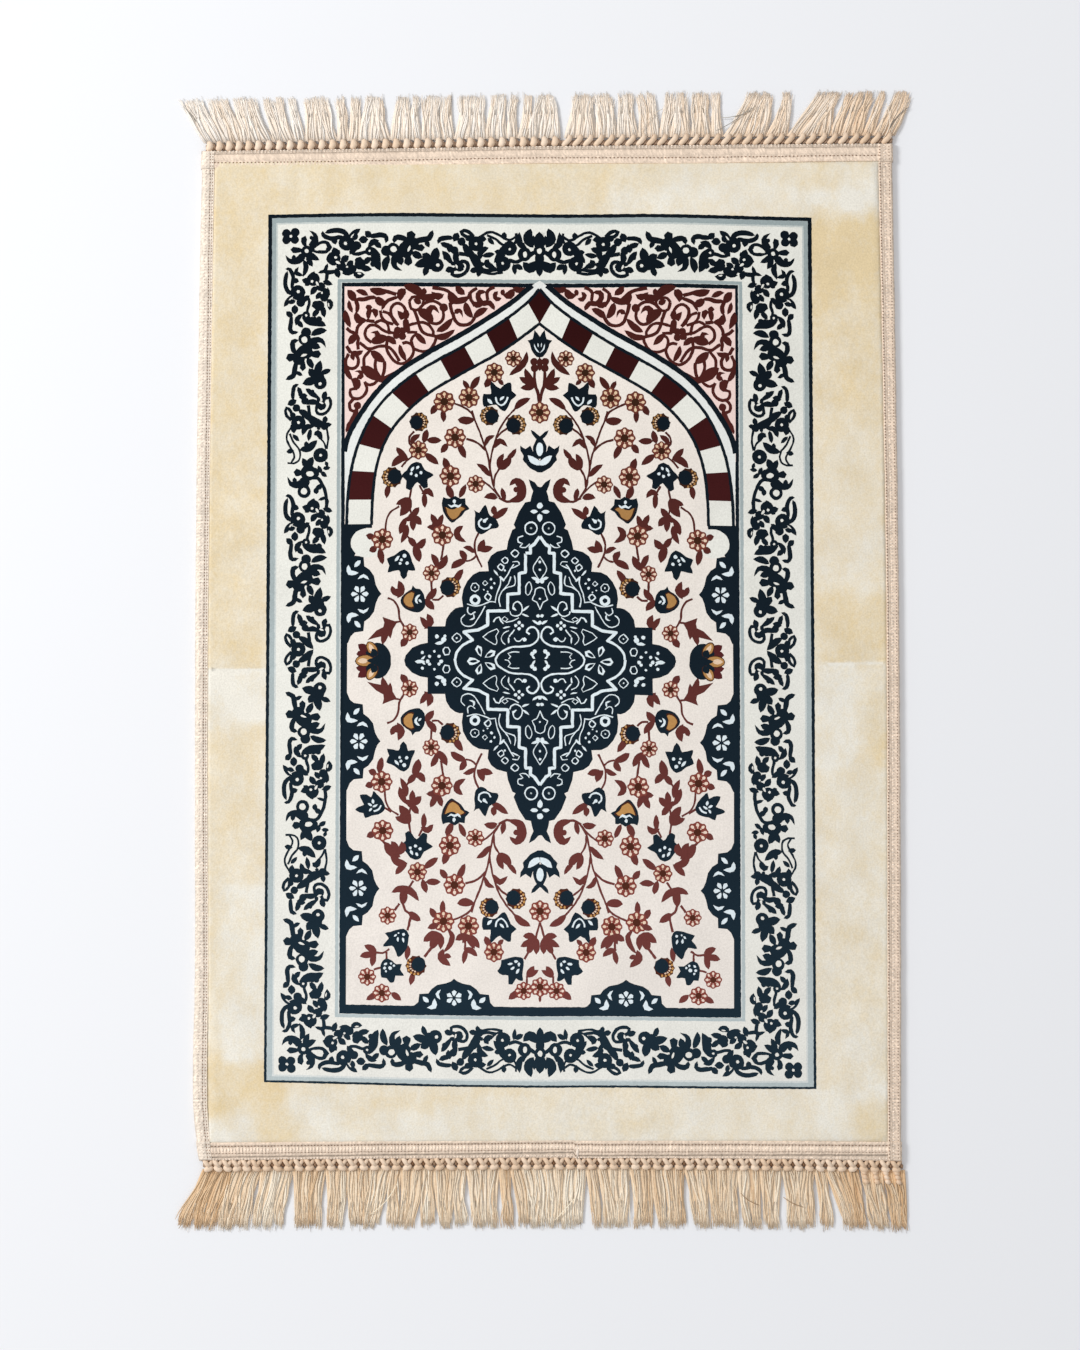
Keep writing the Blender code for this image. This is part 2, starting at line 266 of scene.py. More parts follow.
# Spandrels: a pale rose ground with wine scrollwork, in both corners above the arch.
spandrel = []
patch(spandrel, ROSE, 344, 286, 540.3, 286, 540.3, 330, 344, 460)
SCROLLWORK = (
    ("leaf", 7, 347, 289, 351, 294, 355, 301), ("bar", 3, 354, 297, 357, 305, 356, 313),
    ("leaf", 6.5, 355, 311, 358, 319, 367, 320), ("bar", 3.4, 355, 298, 363, 299, 370, 297, 377, 297),
    ("leaf", 7, 374, 297, 381, 302, 386, 303), ("leaf", 4.4, 355, 290, 361, 291, 368, 295),
    ("leaf", 3.6, 348, 299, 349, 306, 352, 312), ("leaf", 5.4, 344.5, 309, 346, 318, 350, 327),
    ("leaf", 6.5, 369, 288, 377, 291, 389, 291), ("line", 2.4, 386, 291, 396, 294),
    ("leaf", 7.5, 405, 288, 400, 294, 400, 301), ("bar", 2.6, 399, 296, 388, 300, 384, 304, 381, 310),
    ("leaf", 4.6, 365, 307, 368, 307, 372, 307), ("leaf", 4.2, 370, 306, 368, 313, 368, 320),
    ("leaf", 5, 370, 310, 375, 311, 375, 318), ("line", 2.2, 366, 320, 374, 321),
    ("line", 1.7, 380, 310, 381, 316, 385, 321, 393, 324),
    ("line", 1.7, 382, 311, 388, 313, 392, 318, 394, 322, 398, 325),
    ("line", 1.9, 398, 325, 391, 315, 391, 307, 396, 303, 401, 304, 405, 309, 406, 315),
    ("horn", 7, 405, 318, 401, 315, 397, 310), ("leaf", 5, 404, 308, 406, 314, 405, 320),
    ("bar", 5.4, 405, 317, 406, 326, 408, 333), ("disc", 3.1, 397, 330), ("disc", 3.1, 402, 330.5),
    ("disc", 3.1, 396, 335), ("disc", 3.1, 402, 336),
    ("line", 1.8, 371, 342, 366, 338, 364.5, 333, 366, 328, 369, 325, 374, 324.5, 379, 327, 385, 331,
     395, 333), ("leaf", 8.4, 370, 342, 378, 339, 388, 337),
    ("horn", 4.6, 377, 337, 376, 332, 370, 332.5), ("leaf", 5.4, 384, 336, 390, 339, 396, 344),
    ("line", 2.1, 362, 321, 357, 327, 356, 333),
    ("line", 2.1, 346, 327, 350, 331, 355, 333, 358, 338, 357, 343, 358, 349),
    ("leaf", 6.4, 348, 344, 352, 338, 358, 334),
    ("line", 1.8, 374, 323, 380, 320, 386, 322, 388, 327, 389, 334),
    ("line", 2, 359, 342, 363, 345, 367, 348, 372, 348, 378, 346, 386, 346, 391, 349, 395, 354, 399, 361),
    ("line", 1.9, 387, 339, 386, 347, 388, 353, 393, 360, 400, 363.5, 407, 361, 412, 355, 413.5, 349,
     411, 344, 406, 342, 402, 343), ("leaf", 4.6, 399, 344, 401, 352, 406, 361),
    ("line", 1.8, 412, 345, 411, 340, 413, 336, 417, 334),
    ("line", 1.8, 413, 348, 419, 350.5, 426, 351, 431, 348, 435, 341, 436, 336),
    ("leaf", 5.2, 415, 332, 420, 338, 426, 344),
    ("line", 1.9, 370, 349, 366, 354, 363.5, 358, 363.5, 367), ("leaf", 7, 370, 350, 378, 357, 385, 362),
    ("line", 1.9, 376, 357, 374.5, 364, 376, 371, 380, 377), ("line", 2.1, 384, 361, 384, 369, 382, 377),
    ("leaf", 9.5, 360, 366, 368, 371, 378, 380), ("leaf", 5, 371, 376, 384, 379, 397, 370),
    ("line", 1.8, 377, 380, 374, 383, 369, 384.5, 364, 382), ("leaf", 4.8, 349, 352, 357, 353, 363, 350),
    ("line", 2.3, 346, 345, 350, 352), ("leaf", 3.4, 351, 352, 353, 360),
    ("line", 2.1, 348, 353, 345, 360, 346, 366, 352, 368, 357, 365, 358, 359, 356, 355),
    ("leaf", 4.4, 344, 365, 348, 374, 352, 380), ("leaf", 7.5, 350, 378, 356, 382, 356, 390),
    ("horn", 4.4, 356, 378, 361, 375, 359, 371, 354, 371), ("line", 1.9, 360, 372, 367, 369),
    ("line", 1.9, 356, 388, 350, 389, 350, 395, 354, 398, 360, 397.5, 365, 393, 366.5, 387, 364, 381),
    ("line", 1.9, 353, 398, 349, 403, 350, 409, 355, 411), ("disc", 3.2, 357, 405),
    ("leaf", 4.4, 357, 404, 354, 416, 346, 427), ("leaf", 3, 350, 419, 345.5, 432),
    ("leaf", 8, 403, 285, 415, 289, 425, 297), ("leaf", 6, 417, 296, 428, 297, 442, 293),
    ("leaf", 4, 424, 287, 424, 295),
    ("loop", 1.8, 409, 301, 412, 297, 417, 296.5, 423, 299, 422, 305, 417, 309.5, 411, 308),
    ("leaf", 5, 413, 299, 417.5, 301, 421, 303),
    ("line", 2, 420, 307, 426, 302, 433, 300.5, 440, 304, 443, 311, 443, 318, 439, 322.5, 433, 323, 427,
     319, 420, 310), ("leaf", 9, 417, 309, 427, 315, 433, 322),
    ("horn", 5.6, 428, 316, 429, 309, 434, 307, 439, 313), ("disc", 3.7, 443.5, 307),
    ("line", 2.1, 414, 310, 417, 318, 419, 325, 422, 331, 427, 334, 436, 336),
    ("line", 1.8, 408, 325, 415, 323, 423, 322, 429, 325, 433, 331, 433, 335),
    ("line", 1.7, 407, 332, 417, 332), ("leaf", 6, 436, 331, 445, 326, 453, 317),
    ("leaf", 5.4, 432, 336, 444, 336, 455, 329), ("leaf", 7, 448, 292, 452, 299, 450, 305),
    ("leaf", 5.6, 449, 301, 460, 300, 470, 296), ("line", 2.1, 468, 298, 471, 291, 477, 287),
    ("line", 2.3, 432, 287, 444, 289, 450, 292, 457, 298), ("leaf", 6, 455, 285, 460, 290, 465, 294),
    ("leaf", 4.4, 431, 291, 438, 297, 444, 293),
    ("line", 2.3, 450, 302, 451, 308, 453, 314, 455, 320, 460, 324, 467, 324, 472, 321, 476, 314),
    ("horn", 4, 454, 313, 458, 310, 461, 311, 463, 317), ("leaf", 6.4, 465, 301, 468, 311, 473, 317),
    ("leaf", 6, 473, 317, 480, 311, 488, 307), ("line", 2.2, 470, 291, 471, 299, 475, 305),
    ("bar", 4.4, 487, 291, 480, 291, 478, 296, 482, 302, 490, 302, 495, 309),
    ("leaf", 5.2, 471, 300, 477, 304, 485, 301), ("line", 2.2, 488, 299, 487, 292, 490, 288, 495, 286),
    ("bar", 3.4, 498, 290, 495, 294, 497, 298, 502, 297), ("bar", 3.2, 504, 288, 502, 294),
    ("leaf", 7, 503, 294, 510, 294, 514, 287), ("leaf", 5, 513, 286, 520, 289, 526, 286),
)
draw(spandrel, SCROLL_WINE, SCROLLWORK, 1.35)

# The arch: a navy band, a white one, and blocks of wine and white between two
# thin navy lines. Each place is on the left half.
ARCH_BAND = (
    344, 451, 348, 435, 359, 415, 375, 393, 395, 373.5, 429, 351.5, 469, 329, 509, 303.2, 528, 288, 533, 284,
)
ARCH_OUTER = (
    (540.3, 287.5), (528, 301), (509, 316), (486, 331.2), (464, 344.8), (439.5, 358.4), (415, 373),
    (391, 392), (372, 414.5), (357.8, 443.5), (350.6, 470), (347, 499), (346, 523.6),
)
ARCH_INNER = (
    (540.3, 322.4), (518.5, 338.6), (497, 353), (475, 365.3), (451, 378.8), (429, 392.4), (409, 409),
    (392, 428.6), (381, 450), (375, 472), (372, 499), (371, 524.5),
)
arch_ground = []
patch(arch_ground, BAND_WHITE, *ARCH_BAND, 537, 281, 540.3, 279, 540.3, 523, 344.8, 523)
patch(arch_ground, FIELD_IVORY, 344.8, 522, 540.3, 522, 540.3, 580, 344.8, 580)
arch = []
stroke(arch, NAVY, "line", 5.2, *ARCH_BAND)
patch(arch, WINE, *ARCH_OUTER[0], *ARCH_OUTER[1], *ARCH_INNER[0])
for n in range(1, 12):
    block = (*ARCH_OUTER[n], *ARCH_OUTER[n + 1], *ARCH_INNER[n], *ARCH_INNER[n - 1])
    patch(arch, IVORY if n % 2 else WINE, *block)
patch(arch, FIELD_IVORY, *[v for p in ARCH_INNER for v in p], 371, 560, 540.3, 560)
stroke(arch, NAVY, "line", 3.1, *[v for p in ARCH_OUTER for v in p])
stroke(arch, NAVY, "line", 3.1, *[v for p in ARCH_INNER for v in p])

# Side bands of the field, with their pointed lobes and the round notch under
# each foot of the arch, and the lobe that stands on the bottom band. All are on
# the left half, and the right half is their mirror image.
SIDE_LOBES = (593.2, 741.0, 889.1)
# Half the outline of a lobe: out from the band, and along it from the lobe's middle.
LOBE = (
    (5, 49), (8, 42), (12, 38.5), (21, 37.3), (21.8, 27.5),
    (27, 24), (31.5, 18), (33.5, 9), (36, 3.5), (39, 0),
)
BOTTOM_LOBE = 453.8


def lobe(art, x, y, rise, run, turned):
    """A pointed lobe with a six-petalled flower, crescents and leaves left white in it."""

    def at(out, along):
        return (x + along * run, y - out * rise) if turned else (x + out * rise, y + along * run)

    half = [p for place in LOBE for p in at(*place)]
    other = [p for out, along in reversed(LOBE[:-1]) for p in at(out, -along)]
    patch(art, NAVY, *at(0, 49), *half, *other, *at(0, -49))
    for n in range(6):
        a = math.radians(60 * n + 30)
        start, end = (at(17 + r * math.sin(a), r * math.cos(a)) for r in (1.8, 9.0))
        stroke(art, WHITE, "petal", 4.6, *start, *end)
    for s in (-1, 1):
        stroke(art, WHITE, "leaf", 3.2, *at(15, s * 15), *at(21, s * 18.2), *at(26.5, s * 14))
        stroke(art, WHITE, "leaf", 4.4, *at(11.5, s * 27), *at(18, s * 33.5))
        stroke(art, WHITE, "leaf", 5.2, *at(5.5, s * 29), *at(7, s * 21.5), *at(16, s * 21))


sides = []
patch(sides, NAVY, 341.6, 523.6, 347.3, 523.6, 346, 760, 345.4, 1012, 340.6, 1012, 341.2, 760)
patch(sides, NAVY, 344, 523.6, 371.6, 523.6, 371.6, 527.6, 366, 527.6, 344, 540)
patch(sides, NAVY, 344, 527, 366, 527, 352, 560, 344, 560)
for y in SIDE_LOBES:
    lobe(sides, 342.3 - (y - 593) * 0.006, y, 0.99, 1.0, False)
oval(sides, IVORY, 366.5, 542.3, 16.5, 14.6, sides=22)
lobe(sides, BOTTOM_LOBE, 1013.2, 0.88, 0.94, True)

# Sprays of the field. Rosettes have eight outlined petals round a dark eye.
ROSETTES = (
    # x, y, across, dye of the petals
    (513.8, 357.4, 15.5, CREAM), (494.4, 371.4, 18, GILT), (468.9, 396.8, 19.5, GILT),
    (444.1, 401.2, 20, GILT), (454.9, 437, 20, CREAM), (418, 449.8, 17.5, GILT),
    (450.2, 475.9, 20, CREAM), (475.6, 483.4, 16.5, CREAM), (381.9, 539, 20, CREAM),
    (442.1, 535, 20, CREAM), (431.2, 573.1, 16, CREAM), (409.3, 632, 16, CREAM),
)
ROSETTES_BELOW = (
    (382.1, 830.8, 20, CREAM), (387, 916.3, 16.5, CREAM), (366.5, 978.2, 16.5, CREAM),
    (381.2, 994.4, 17, CREAM), (523.8, 990.5, 16.5, CREAM),
)


def rosette(art, x, y, across, dye):
    """A flower of eight small round petals, each outlined, round a wide eye with a ring of dots."""
    size = across / 20
    outline = []
    for n in range(32):
        a = 2 * math.pi * (n + 0.5) / 32
        r = size * (9.0 + 2.2 * abs(math.cos(4 * a)))
        outline += [x + r * math.cos(a), y + r * math.sin(a)]
    patch(art, WINE_LINE, *outline)
    for n in range(8):
        a = math.pi * n / 4
        c, s = math.cos(a), math.sin(a)
        oval(art, dye, x + 7.5 * size * c, y + 7.5 * size * s, 2.0 * size, 1.6 * size, 45 * n, 7)
        oval(art, dye, x + 4.7 * size * c, y + 4.7 * size * s, 0.9 * size, 0.6 * size, 45 * n, 4)
    oval(art, BROWN, x, y, 3.9 * size, 3.9 * size, sides=9)


# Berries: a navy ball held in a scalloped cup of gold, open on one side.
BERRIES = (
    # x, y, radius, way the cup faces in degrees, counted clockwise from the right
    (489.5, 415, 9.6, 195), (516.5, 423.7, 10.2, -20), (450.2, 587.2, 10.3, -15),
)
BERRIES_TOP = ((418.7, 421.6, 9.4, -15), (391.5, 477, 10.2, 165))
BERRIES_BELOW = ((415.5, 966.5, 10.2, 150),)


def berry(art, x, y, radius, turn):
    """A round navy berry in its cup."""
    faced = math.radians(turn)
    outline = []
    for n in range(30):
        a = 2 * math.pi * n / 30
        r = radius * (0.99 + 0.07 * math.cos(10 * a))
        outline += [x + r * math.cos(a), y + r * math.sin(a)]
    patch(art, BROWN, *outline)
    for n in range(7):
        a = faced + math.radians(25) * (n - 3)
        c, s = math.cos(a), math.sin(a)
        oval(art, GOLD, x + 0.82 * radius * c, y + 0.82 * radius * s, 0.12 * radius, 0.15 * radius, turn, 5)
        if 0 < n < 6:
            oval(art, GILT, x + 0.58 * radius * c, y + 0.58 * radius * s, 0.12 * radius, 0.1 * radius, 0, 4)
    ball_x = x - 0.3 * radius * math.cos(faced)
    ball_y = y - 0.3 * radius * math.sin(faced)
    oval(art, NAVY, ball_x, ball_y, 0.7 * radius, 0.74 * radius, 0, 14)


FIELD_LEAVES = (
    ("leaf", 6.2, 437, 404, 430.5, 414.5), ("leaf", 5.4, 443, 408, 443.5, 422),
    ("leaf", 5, 469, 389, 463, 379.5), ("leaf", 6.4, 470, 389, 480, 375),
    ("leaf", 8, 457.5, 419, 466, 420, 475, 419), ("leaf", 6.2, 448, 443, 440.5, 452.5),
    ("leaf", 6.4, 458, 442, 465.5, 458), ("leaf", 6.2, 427, 429, 423, 443),
    ("leaf", 6.4, 426, 440, 441.5, 440), ("leaf", 6.6, 424, 453, 438.5, 464),
    ("leaf", 6, 408, 459, 401, 453, 396, 447), ("leaf", 7.4, 408, 458, 399, 459, 391, 466.5),
    ("leaf", 7, 449, 471, 443.5, 457), ("leaf", 7, 446.5, 485, 453, 499),
    ("leaf", 5.4, 466, 484, 459, 498), ("leaf", 6.6, 491, 376, 485, 387), ("leaf", 4, 498, 378, 504, 384),
    ("leaf", 6.6, 514, 409, 521, 402, 531, 397), ("leaf", 4.6, 485, 446, 488, 438, 495, 434.5),
    ("leaf", 5.6, 493, 448, 500, 440, 508, 446), ("leaf", 6, 499, 469, 500, 460, 504, 452.5),
    ("leaf", 8, 499, 469, 507, 462, 511, 455), ("leaf", 4.8, 507, 459, 513, 453, 516.5, 447.5),
    ("leaf", 5.6, 490.5, 476, 484, 468, 476.5, 463), ("leaf", 6.6, 484, 497, 491, 495.5, 498, 497.5),
    ("leaf", 5, 502, 487, 505, 501), ("line", 2.2, 499, 497, 507, 501, 514, 500),
    ("leaf", 9, 508, 501, 520, 497, 522, 486, 516, 480, 509.5, 485), ("disc", 2.7, 516.5, 489),
    ("line", 1.5, 516, 407, 507, 417, 500, 428, 496, 438, 492, 452, 490, 466, 492, 478, 494, 487, 500,
     497), ("line", 1.6, 508, 427, 501, 432, 497, 437),
    ("line", 1.5, 472, 410, 475, 420, 480, 432, 484, 444, 488, 456, 490, 468),
    ("line", 1.6, 452, 402, 462, 406, 470, 411, 474, 418),
    ("line", 1.9, 466, 438.5, 475, 441, 481, 445, 486, 450), ("line", 1.6, 494, 486, 495, 476, 500, 467),
    ("line", 1.4, 482, 480, 489, 485, 495, 491, 500, 497), ("leaf", 6.4, 374, 537, 365.5, 534.5),
    ("leaf", 6.6, 377, 547, 368.5, 550.5), ("leaf", 6.4, 379, 547, 382, 564),
    ("leaf", 6, 438, 528, 434, 520, 430.5, 513.5), ("leaf", 5.6, 438, 528, 440, 521, 442.5, 514),
    ("leaf", 6, 439, 530, 432, 527, 426.5, 527), ("disc", 4.4, 436, 525),
    ("leaf", 5.4, 424, 492, 424.5, 508), ("leaf", 6, 421, 494, 428, 491, 433.5, 497),
    ("line", 1.6, 419, 485, 424, 494), ("leaf", 6, 409, 497, 403, 501, 395.5, 504),
    ("leaf", 9, 410, 497, 406, 507, 399.5, 516), ("disc", 3.8, 404, 505),
    ("line", 1.6, 411, 488, 410, 494, 409, 501, 410, 510, 412, 516),
    ("line", 1.5, 399, 506, 390, 512, 386, 520, 385, 530), ("leaf", 6.2, 411, 518, 415, 512, 419, 507),
    ("leaf", 7, 410, 516, 416, 519, 421.5, 525), ("leaf", 6, 412, 516, 413, 531),
    ("leaf", 5, 412, 516, 405, 521), ("disc", 4.2, 412, 517),
    ("leaf", 6.2, 406, 517, 402, 526, 399.5, 534), ("leaf", 6.2, 407, 524, 405, 534, 400.5, 543),
    ("line", 1.6, 405, 533, 410, 540), ("leaf", 6.4, 416, 547, 412, 542, 408, 536.5),
    ("leaf", 7, 413, 546, 420, 545, 425.5, 538), ("leaf", 8.4, 414, 544, 417, 553, 419, 562),
    ("leaf", 6.4, 463, 525.5, 457, 531, 458, 537, 466, 542), ("leaf", 6, 438, 569, 435, 560, 431, 553.5),
    ("leaf", 7, 436, 570, 443, 563, 447, 554.5), ("line", 1.8, 443.5, 544, 441, 560),
    ("leaf", 7.2, 397, 598, 401, 589, 398, 580), ("leaf", 5.6, 396, 596, 393, 590, 391, 585.5),
    ("disc", 3.8, 397, 592), ("line", 1.7, 387, 597.5, 393, 600, 398, 608, 399, 618, 403, 625, 405, 629),
    ("leaf", 6.6, 425, 601, 432, 594, 436, 587.5), ("leaf", 7, 424, 599, 430, 605, 434, 610),
    ("line", 1.8, 432, 599.5, 438, 599.5, 443, 595.5), ("line", 1.8, 431, 580, 431.5, 592),
    ("leaf", 6.6, 453, 584, 458, 576, 463, 569), ("leaf", 7, 450.5, 568.5, 458, 563, 467, 560),
    ("leaf", 6.4, 464, 562, 464, 556, 459.5, 550), ("leaf", 5, 463, 547, 469, 548, 475, 553),
    ("leaf", 7, 477, 551, 481, 547, 484, 539), ("leaf", 6.6, 478, 549, 485, 549, 493, 547),
    ("line", 1.6, 479, 532, 475, 541, 475, 551, 478, 559, 482, 567),
    ("line", 1.5, 466, 561, 471, 560, 476, 556),
    ("cut", 0, 397, 621.6, 390.5, 619.5, 382, 616.4, 383.6, 622, 383, 626.4, 376, 629.8, 366.6, 639.4,
     374, 637.4, 380.6, 636, 380.4, 640, 382, 644.4, 385.6, 640.2, 388, 635.4, 390, 638.4, 391.6, 634,
     392.4, 629), ("line", 1.7, 394, 622, 400, 621), ("leaf", 6, 428, 629, 424, 622, 419.5, 616.5),
    ("leaf", 7, 424, 629, 430, 622, 427, 613.5), ("leaf", 7, 407, 637, 400.5, 646.5),
    ("leaf", 6, 494, 515, 494, 505), ("leaf", 6.4, 491, 519, 499, 514, 508.5, 507),
)
LEAVES_TOP = (
    ("leaf", 6.6, 509.5, 374, 519, 367, 526, 359, 527.5, 350),
    ("leaf", 6.4, 536, 383, 529, 376, 525.5, 367), ("leaf", 6.2, 537, 380, 527, 380, 519.5, 376),
    ("leaf", 6.4, 537, 384, 529, 386, 520.5, 387), ("disc", 5, 531.5, 381), ("disc", 3.7, 534.5, 360.5),
    ("disc", 3.7, 535, 367), ("bar", 5, 540.3, 356, 540.3, 370),
    ("bar", 3, 535.5, 366, 535, 376, 536, 385, 538.5, 392, 539.6, 403),
    ("leaf", 5.6, 411, 445, 413, 439, 420, 434), ("leaf", 5.6, 388, 484, 386, 498),
    ("line", 1.6, 414, 431, 409, 437, 409, 443, 413, 447), ("line", 1.5, 401, 467, 406, 461, 412, 456),
)
LEAVES_BELOW = (
    ("leaf", 6.4, 375, 832.5, 366, 837.5), ("line", 2, 381, 840, 387, 846),
    ("leaf", 9.4, 384, 842, 391, 852, 400, 857.5), ("leaf", 6.4, 398, 852, 391, 841),
    ("leaf", 8, 396, 855, 402, 848, 401, 841.5), ("line", 1.8, 383, 807, 391, 812),
    ("leaf", 7.6, 391, 893, 398, 889.5, 405, 890, 412, 893, 418.5, 901.5),
    ("leaf", 8, 404, 888, 403, 897, 402, 906), ("line", 1.8, 413, 881, 407, 890),
    ("line", 2, 402, 903, 405, 911, 410, 915, 409, 923, 407, 931), ("line", 2, 399, 904, 394, 911),
    ("leaf", 7, 408, 912, 414, 917, 420.5, 921.5), ("leaf", 6, 439, 924.5, 427, 928.5),
    ("leaf", 5.4, 410, 914, 414, 917), ("leaf", 6.6, 466, 933.5, 455, 940.5),
    ("leaf", 6.6, 466, 933.5, 474.5, 949), ("line", 1.7, 465, 938, 465, 951),
    ("leaf", 6, 463, 949, 471, 951, 477.5, 956.5), ("leaf", 5.2, 466, 949, 463, 964),
    ("leaf", 5.4, 447, 929, 452, 936, 449, 946, 443, 953),
    ("leaf", 7.4, 443, 949, 441, 958, 450.5, 966.5), ("leaf", 4.8, 443, 955, 451, 957.5),
    ("leaf", 9.6, 423, 942, 432, 936, 440, 940, 440, 950), ("leaf", 8.4, 437, 936, 433, 944, 431, 950),
    ("line", 2.3, 432, 947, 424, 957.5), ("leaf", 5.6, 413, 973, 410, 986),
    ("leaf", 5.4, 408, 946, 406, 961), ("leaf", 7, 363.5, 946.5, 371, 950, 375.5, 958),
    ("leaf", 6.6, 359, 958, 367, 956, 375, 957), ("leaf", 6, 374, 953, 371, 968),
    ("disc", 3.6, 372, 954.5), ("line", 1.7, 374, 953, 382, 954, 389, 950),
    ("line", 1.7, 386, 953, 386, 960), ("line", 1.7, 373, 971, 381, 968.5),
    ("leaf", 6, 377, 995, 365.5, 1001.5), ("leaf", 6.2, 390.5, 993.5, 401, 1001.5),
    ("leaf", 6.4, 519, 990.5, 508.5, 999.5), ("disc", 3.4, 515.5, 994),
    ("leaf", 6, 526.5, 977, 534.5, 965.5), ("leaf", 5, 526.5, 977, 539, 969.5),
    ("line", 1.7, 527, 976, 527, 985), ("leaf", 6.6, 523, 936, 531, 936, 538, 942),
    ("leaf", 6.4, 535, 939, 520.5, 946.5), ("leaf", 6.6, 534, 940, 527.5, 954),
    ("leaf", 6.6, 537, 937, 536.5, 954), ("disc", 4.4, 533, 940), ("line", 1.8, 529, 951, 524.5, 959),
    ("line", 1.7, 540.3, 922, 538, 930, 536, 938), ("leaf", 2.4, 540.3, 994, 540.3, 1002),
)

# Bells: navy, with pointed lips and white marks inside.
BELLS = (
    (500.5, 387.5, 505, 383.5, 511, 381.5, 512, 390, 517, 394, 511.5, 399, 508.5, 405, 505, 410.5, 500,
     408, 496, 404, 490, 404.5, 484, 406, 482.5, 400, 483.5, 393, 491, 393, 490.5, 386, 491.5, 380.5,
     496, 385),
    (416, 461.5, 421, 463.5, 424.5, 469.5, 433.5, 475, 427.5, 479, 427.5, 487, 423.5, 488.5, 417, 482,
     413, 487, 409, 490, 405.5, 488, 406, 480.5, 401, 476, 406, 470, 410.5, 464),
    (474, 509.5, 479, 512.5, 482, 508, 485.5, 504.5, 488, 510, 490, 515, 495.5, 518, 499, 525, 498,
     527.5, 490, 529, 486, 532, 481, 534, 476, 530.5, 474.5, 522, 475, 515),
    (404, 549, 409, 553, 412, 562, 415, 570.5, 408, 570, 406.5, 576, 403.5, 579, 400, 575, 398.5, 570,
     387, 572, 389, 565, 386.5, 558.5, 394, 555, 399, 551),
)
BELL_MARKS = (
    ("line", 1.7, 496, 396, 497, 401, 501.5, 404.5, 506, 401, 508, 396),
    ("leaf", 2.6, 500, 399.5, 504.5, 395), ("leaf", 3, 487.5, 398, 492.5, 403),
    ("leaf", 2.6, 410.5, 471.5, 413.5, 466.5), ("leaf", 2.6, 416, 469, 418.5, 465.5),
    ("disc", 1.6, 410.8, 473.4), ("disc", 1.7, 420.6, 472.6), ("disc", 1.7, 416, 475.2),
    ("line", 1.7, 482, 518.5, 479, 521, 479.5, 526, 484, 528.5, 489, 527, 491, 523.5),
    ("disc", 1.9, 484.5, 520.5), ("leaf", 1.8, 484, 521, 488, 517.5),
    ("leaf", 2.6, 394.5, 561, 399, 555.5), ("disc", 2.1, 404.2, 555.5), ("disc", 1.6, 401, 559.5),
    ("disc", 1.5, 399.8, 563.2), ("disc", 1.8, 406.8, 563),
)
BELLS_BELOW = (
    (384.5, 806, 381, 799, 376, 794, 372.5, 791, 370.5, 797, 366, 794.5, 359, 795, 361.5, 801, 363.5,
     805, 358, 807, 354.5, 810, 359, 812.5, 363, 813.5, 364.5, 818.5, 371, 816, 378, 814.5, 383.5, 811),
    (408.5, 936, 407.5, 945, 405, 951.5, 398, 958, 394.5, 951, 391.5, 946.5, 382.5, 947.5, 385, 942.5,
     388, 939, 384.5, 934, 390, 932.5, 396, 930.5, 403, 929.5, 407, 932),
    (380, 966, 382.5, 961.5, 387, 959.5, 392, 962, 396, 965, 401.5, 965, 399.5, 970, 403.5, 976.5, 395,
     977, 393.5, 983, 389, 983.5, 386, 979, 381, 979, 380, 972),
    (501, 960, 508, 958, 515, 956.5, 523, 958, 524, 965, 522.5, 973, 523, 980.5, 518.5, 980, 516, 978,
     512.5, 984.5, 508.5, 984.5, 508, 975.5, 502.5, 975, 497, 971, 500.5, 966.5),
)
BELL_MARKS_BELOW = (
    ("line", 1.7, 373, 811.5, 378, 809.5, 380.5, 805.5), ("leaf", 2.8, 372, 799, 373, 804),
    ("leaf", 2.4, 367, 803.5, 371.5, 806), ("leaf", 2.2, 372, 807.5, 377, 804.5),
    ("leaf", 2.2, 368.5, 811.5, 371.5, 808), ("leaf", 2, 393.5, 937.5, 396.5, 935),
    ("disc", 1.1, 398, 933.8), ("disc", 1.6, 403.2, 935), ("leaf", 2.3, 397, 937.5, 397.5, 942.5),
    ("leaf", 2.3, 402, 938, 403.5, 943.5), ("leaf", 2.4, 383.5, 966, 386.5, 964),
    ("disc", 1.3, 390.5, 964.4), ("disc", 1.3, 393.4, 966.6), ("disc", 1.6, 384, 969.2),
    ("disc", 2, 389.4, 969), ("disc", 1.2, 385.4, 972.4), ("leaf", 2.6, 507.5, 964, 513, 963.4),
    ("leaf", 2.6, 514, 961.5, 518, 961), ("leaf", 2.6, 510.5, 969.5, 514.5, 966.5),
    ("leaf", 2.6, 519, 966.5, 519, 962), ("leaf", 2.6, 516, 973.5, 519.5, 968.5),
)

# Tulips, half gold and half navy, and the palmette on each side.
TULIP_BACKS = (
    (443, 497, 449, 498.5, 455, 495.5, 460, 498.5, 465, 498, 465.5, 504, 469.5, 508.5, 465, 511, 461.5,
     516, 456, 520, 451.5, 522.5, 446, 517, 443, 511, 441.5, 503.5),
    (412.5, 585, 415.5, 588.5, 419.5, 589, 423.5, 594, 425, 601, 424.5, 607, 419.5, 612, 412, 611.5, 405,
     608.5, 400.5, 603, 401, 597, 406, 592, 411, 589),
)
TULIP_GOLD = (
    (443.5, 506, 449, 508.5, 454.5, 508.5, 460, 505, 466.5, 508, 462, 511, 459, 516.5, 452, 520.5, 447,
     515.5),
    (411.5, 590.5, 414.5, 592, 413, 597, 412, 602, 414, 607.5, 408, 608, 402.5, 602.5, 403, 597, 407,
     592.5),
)
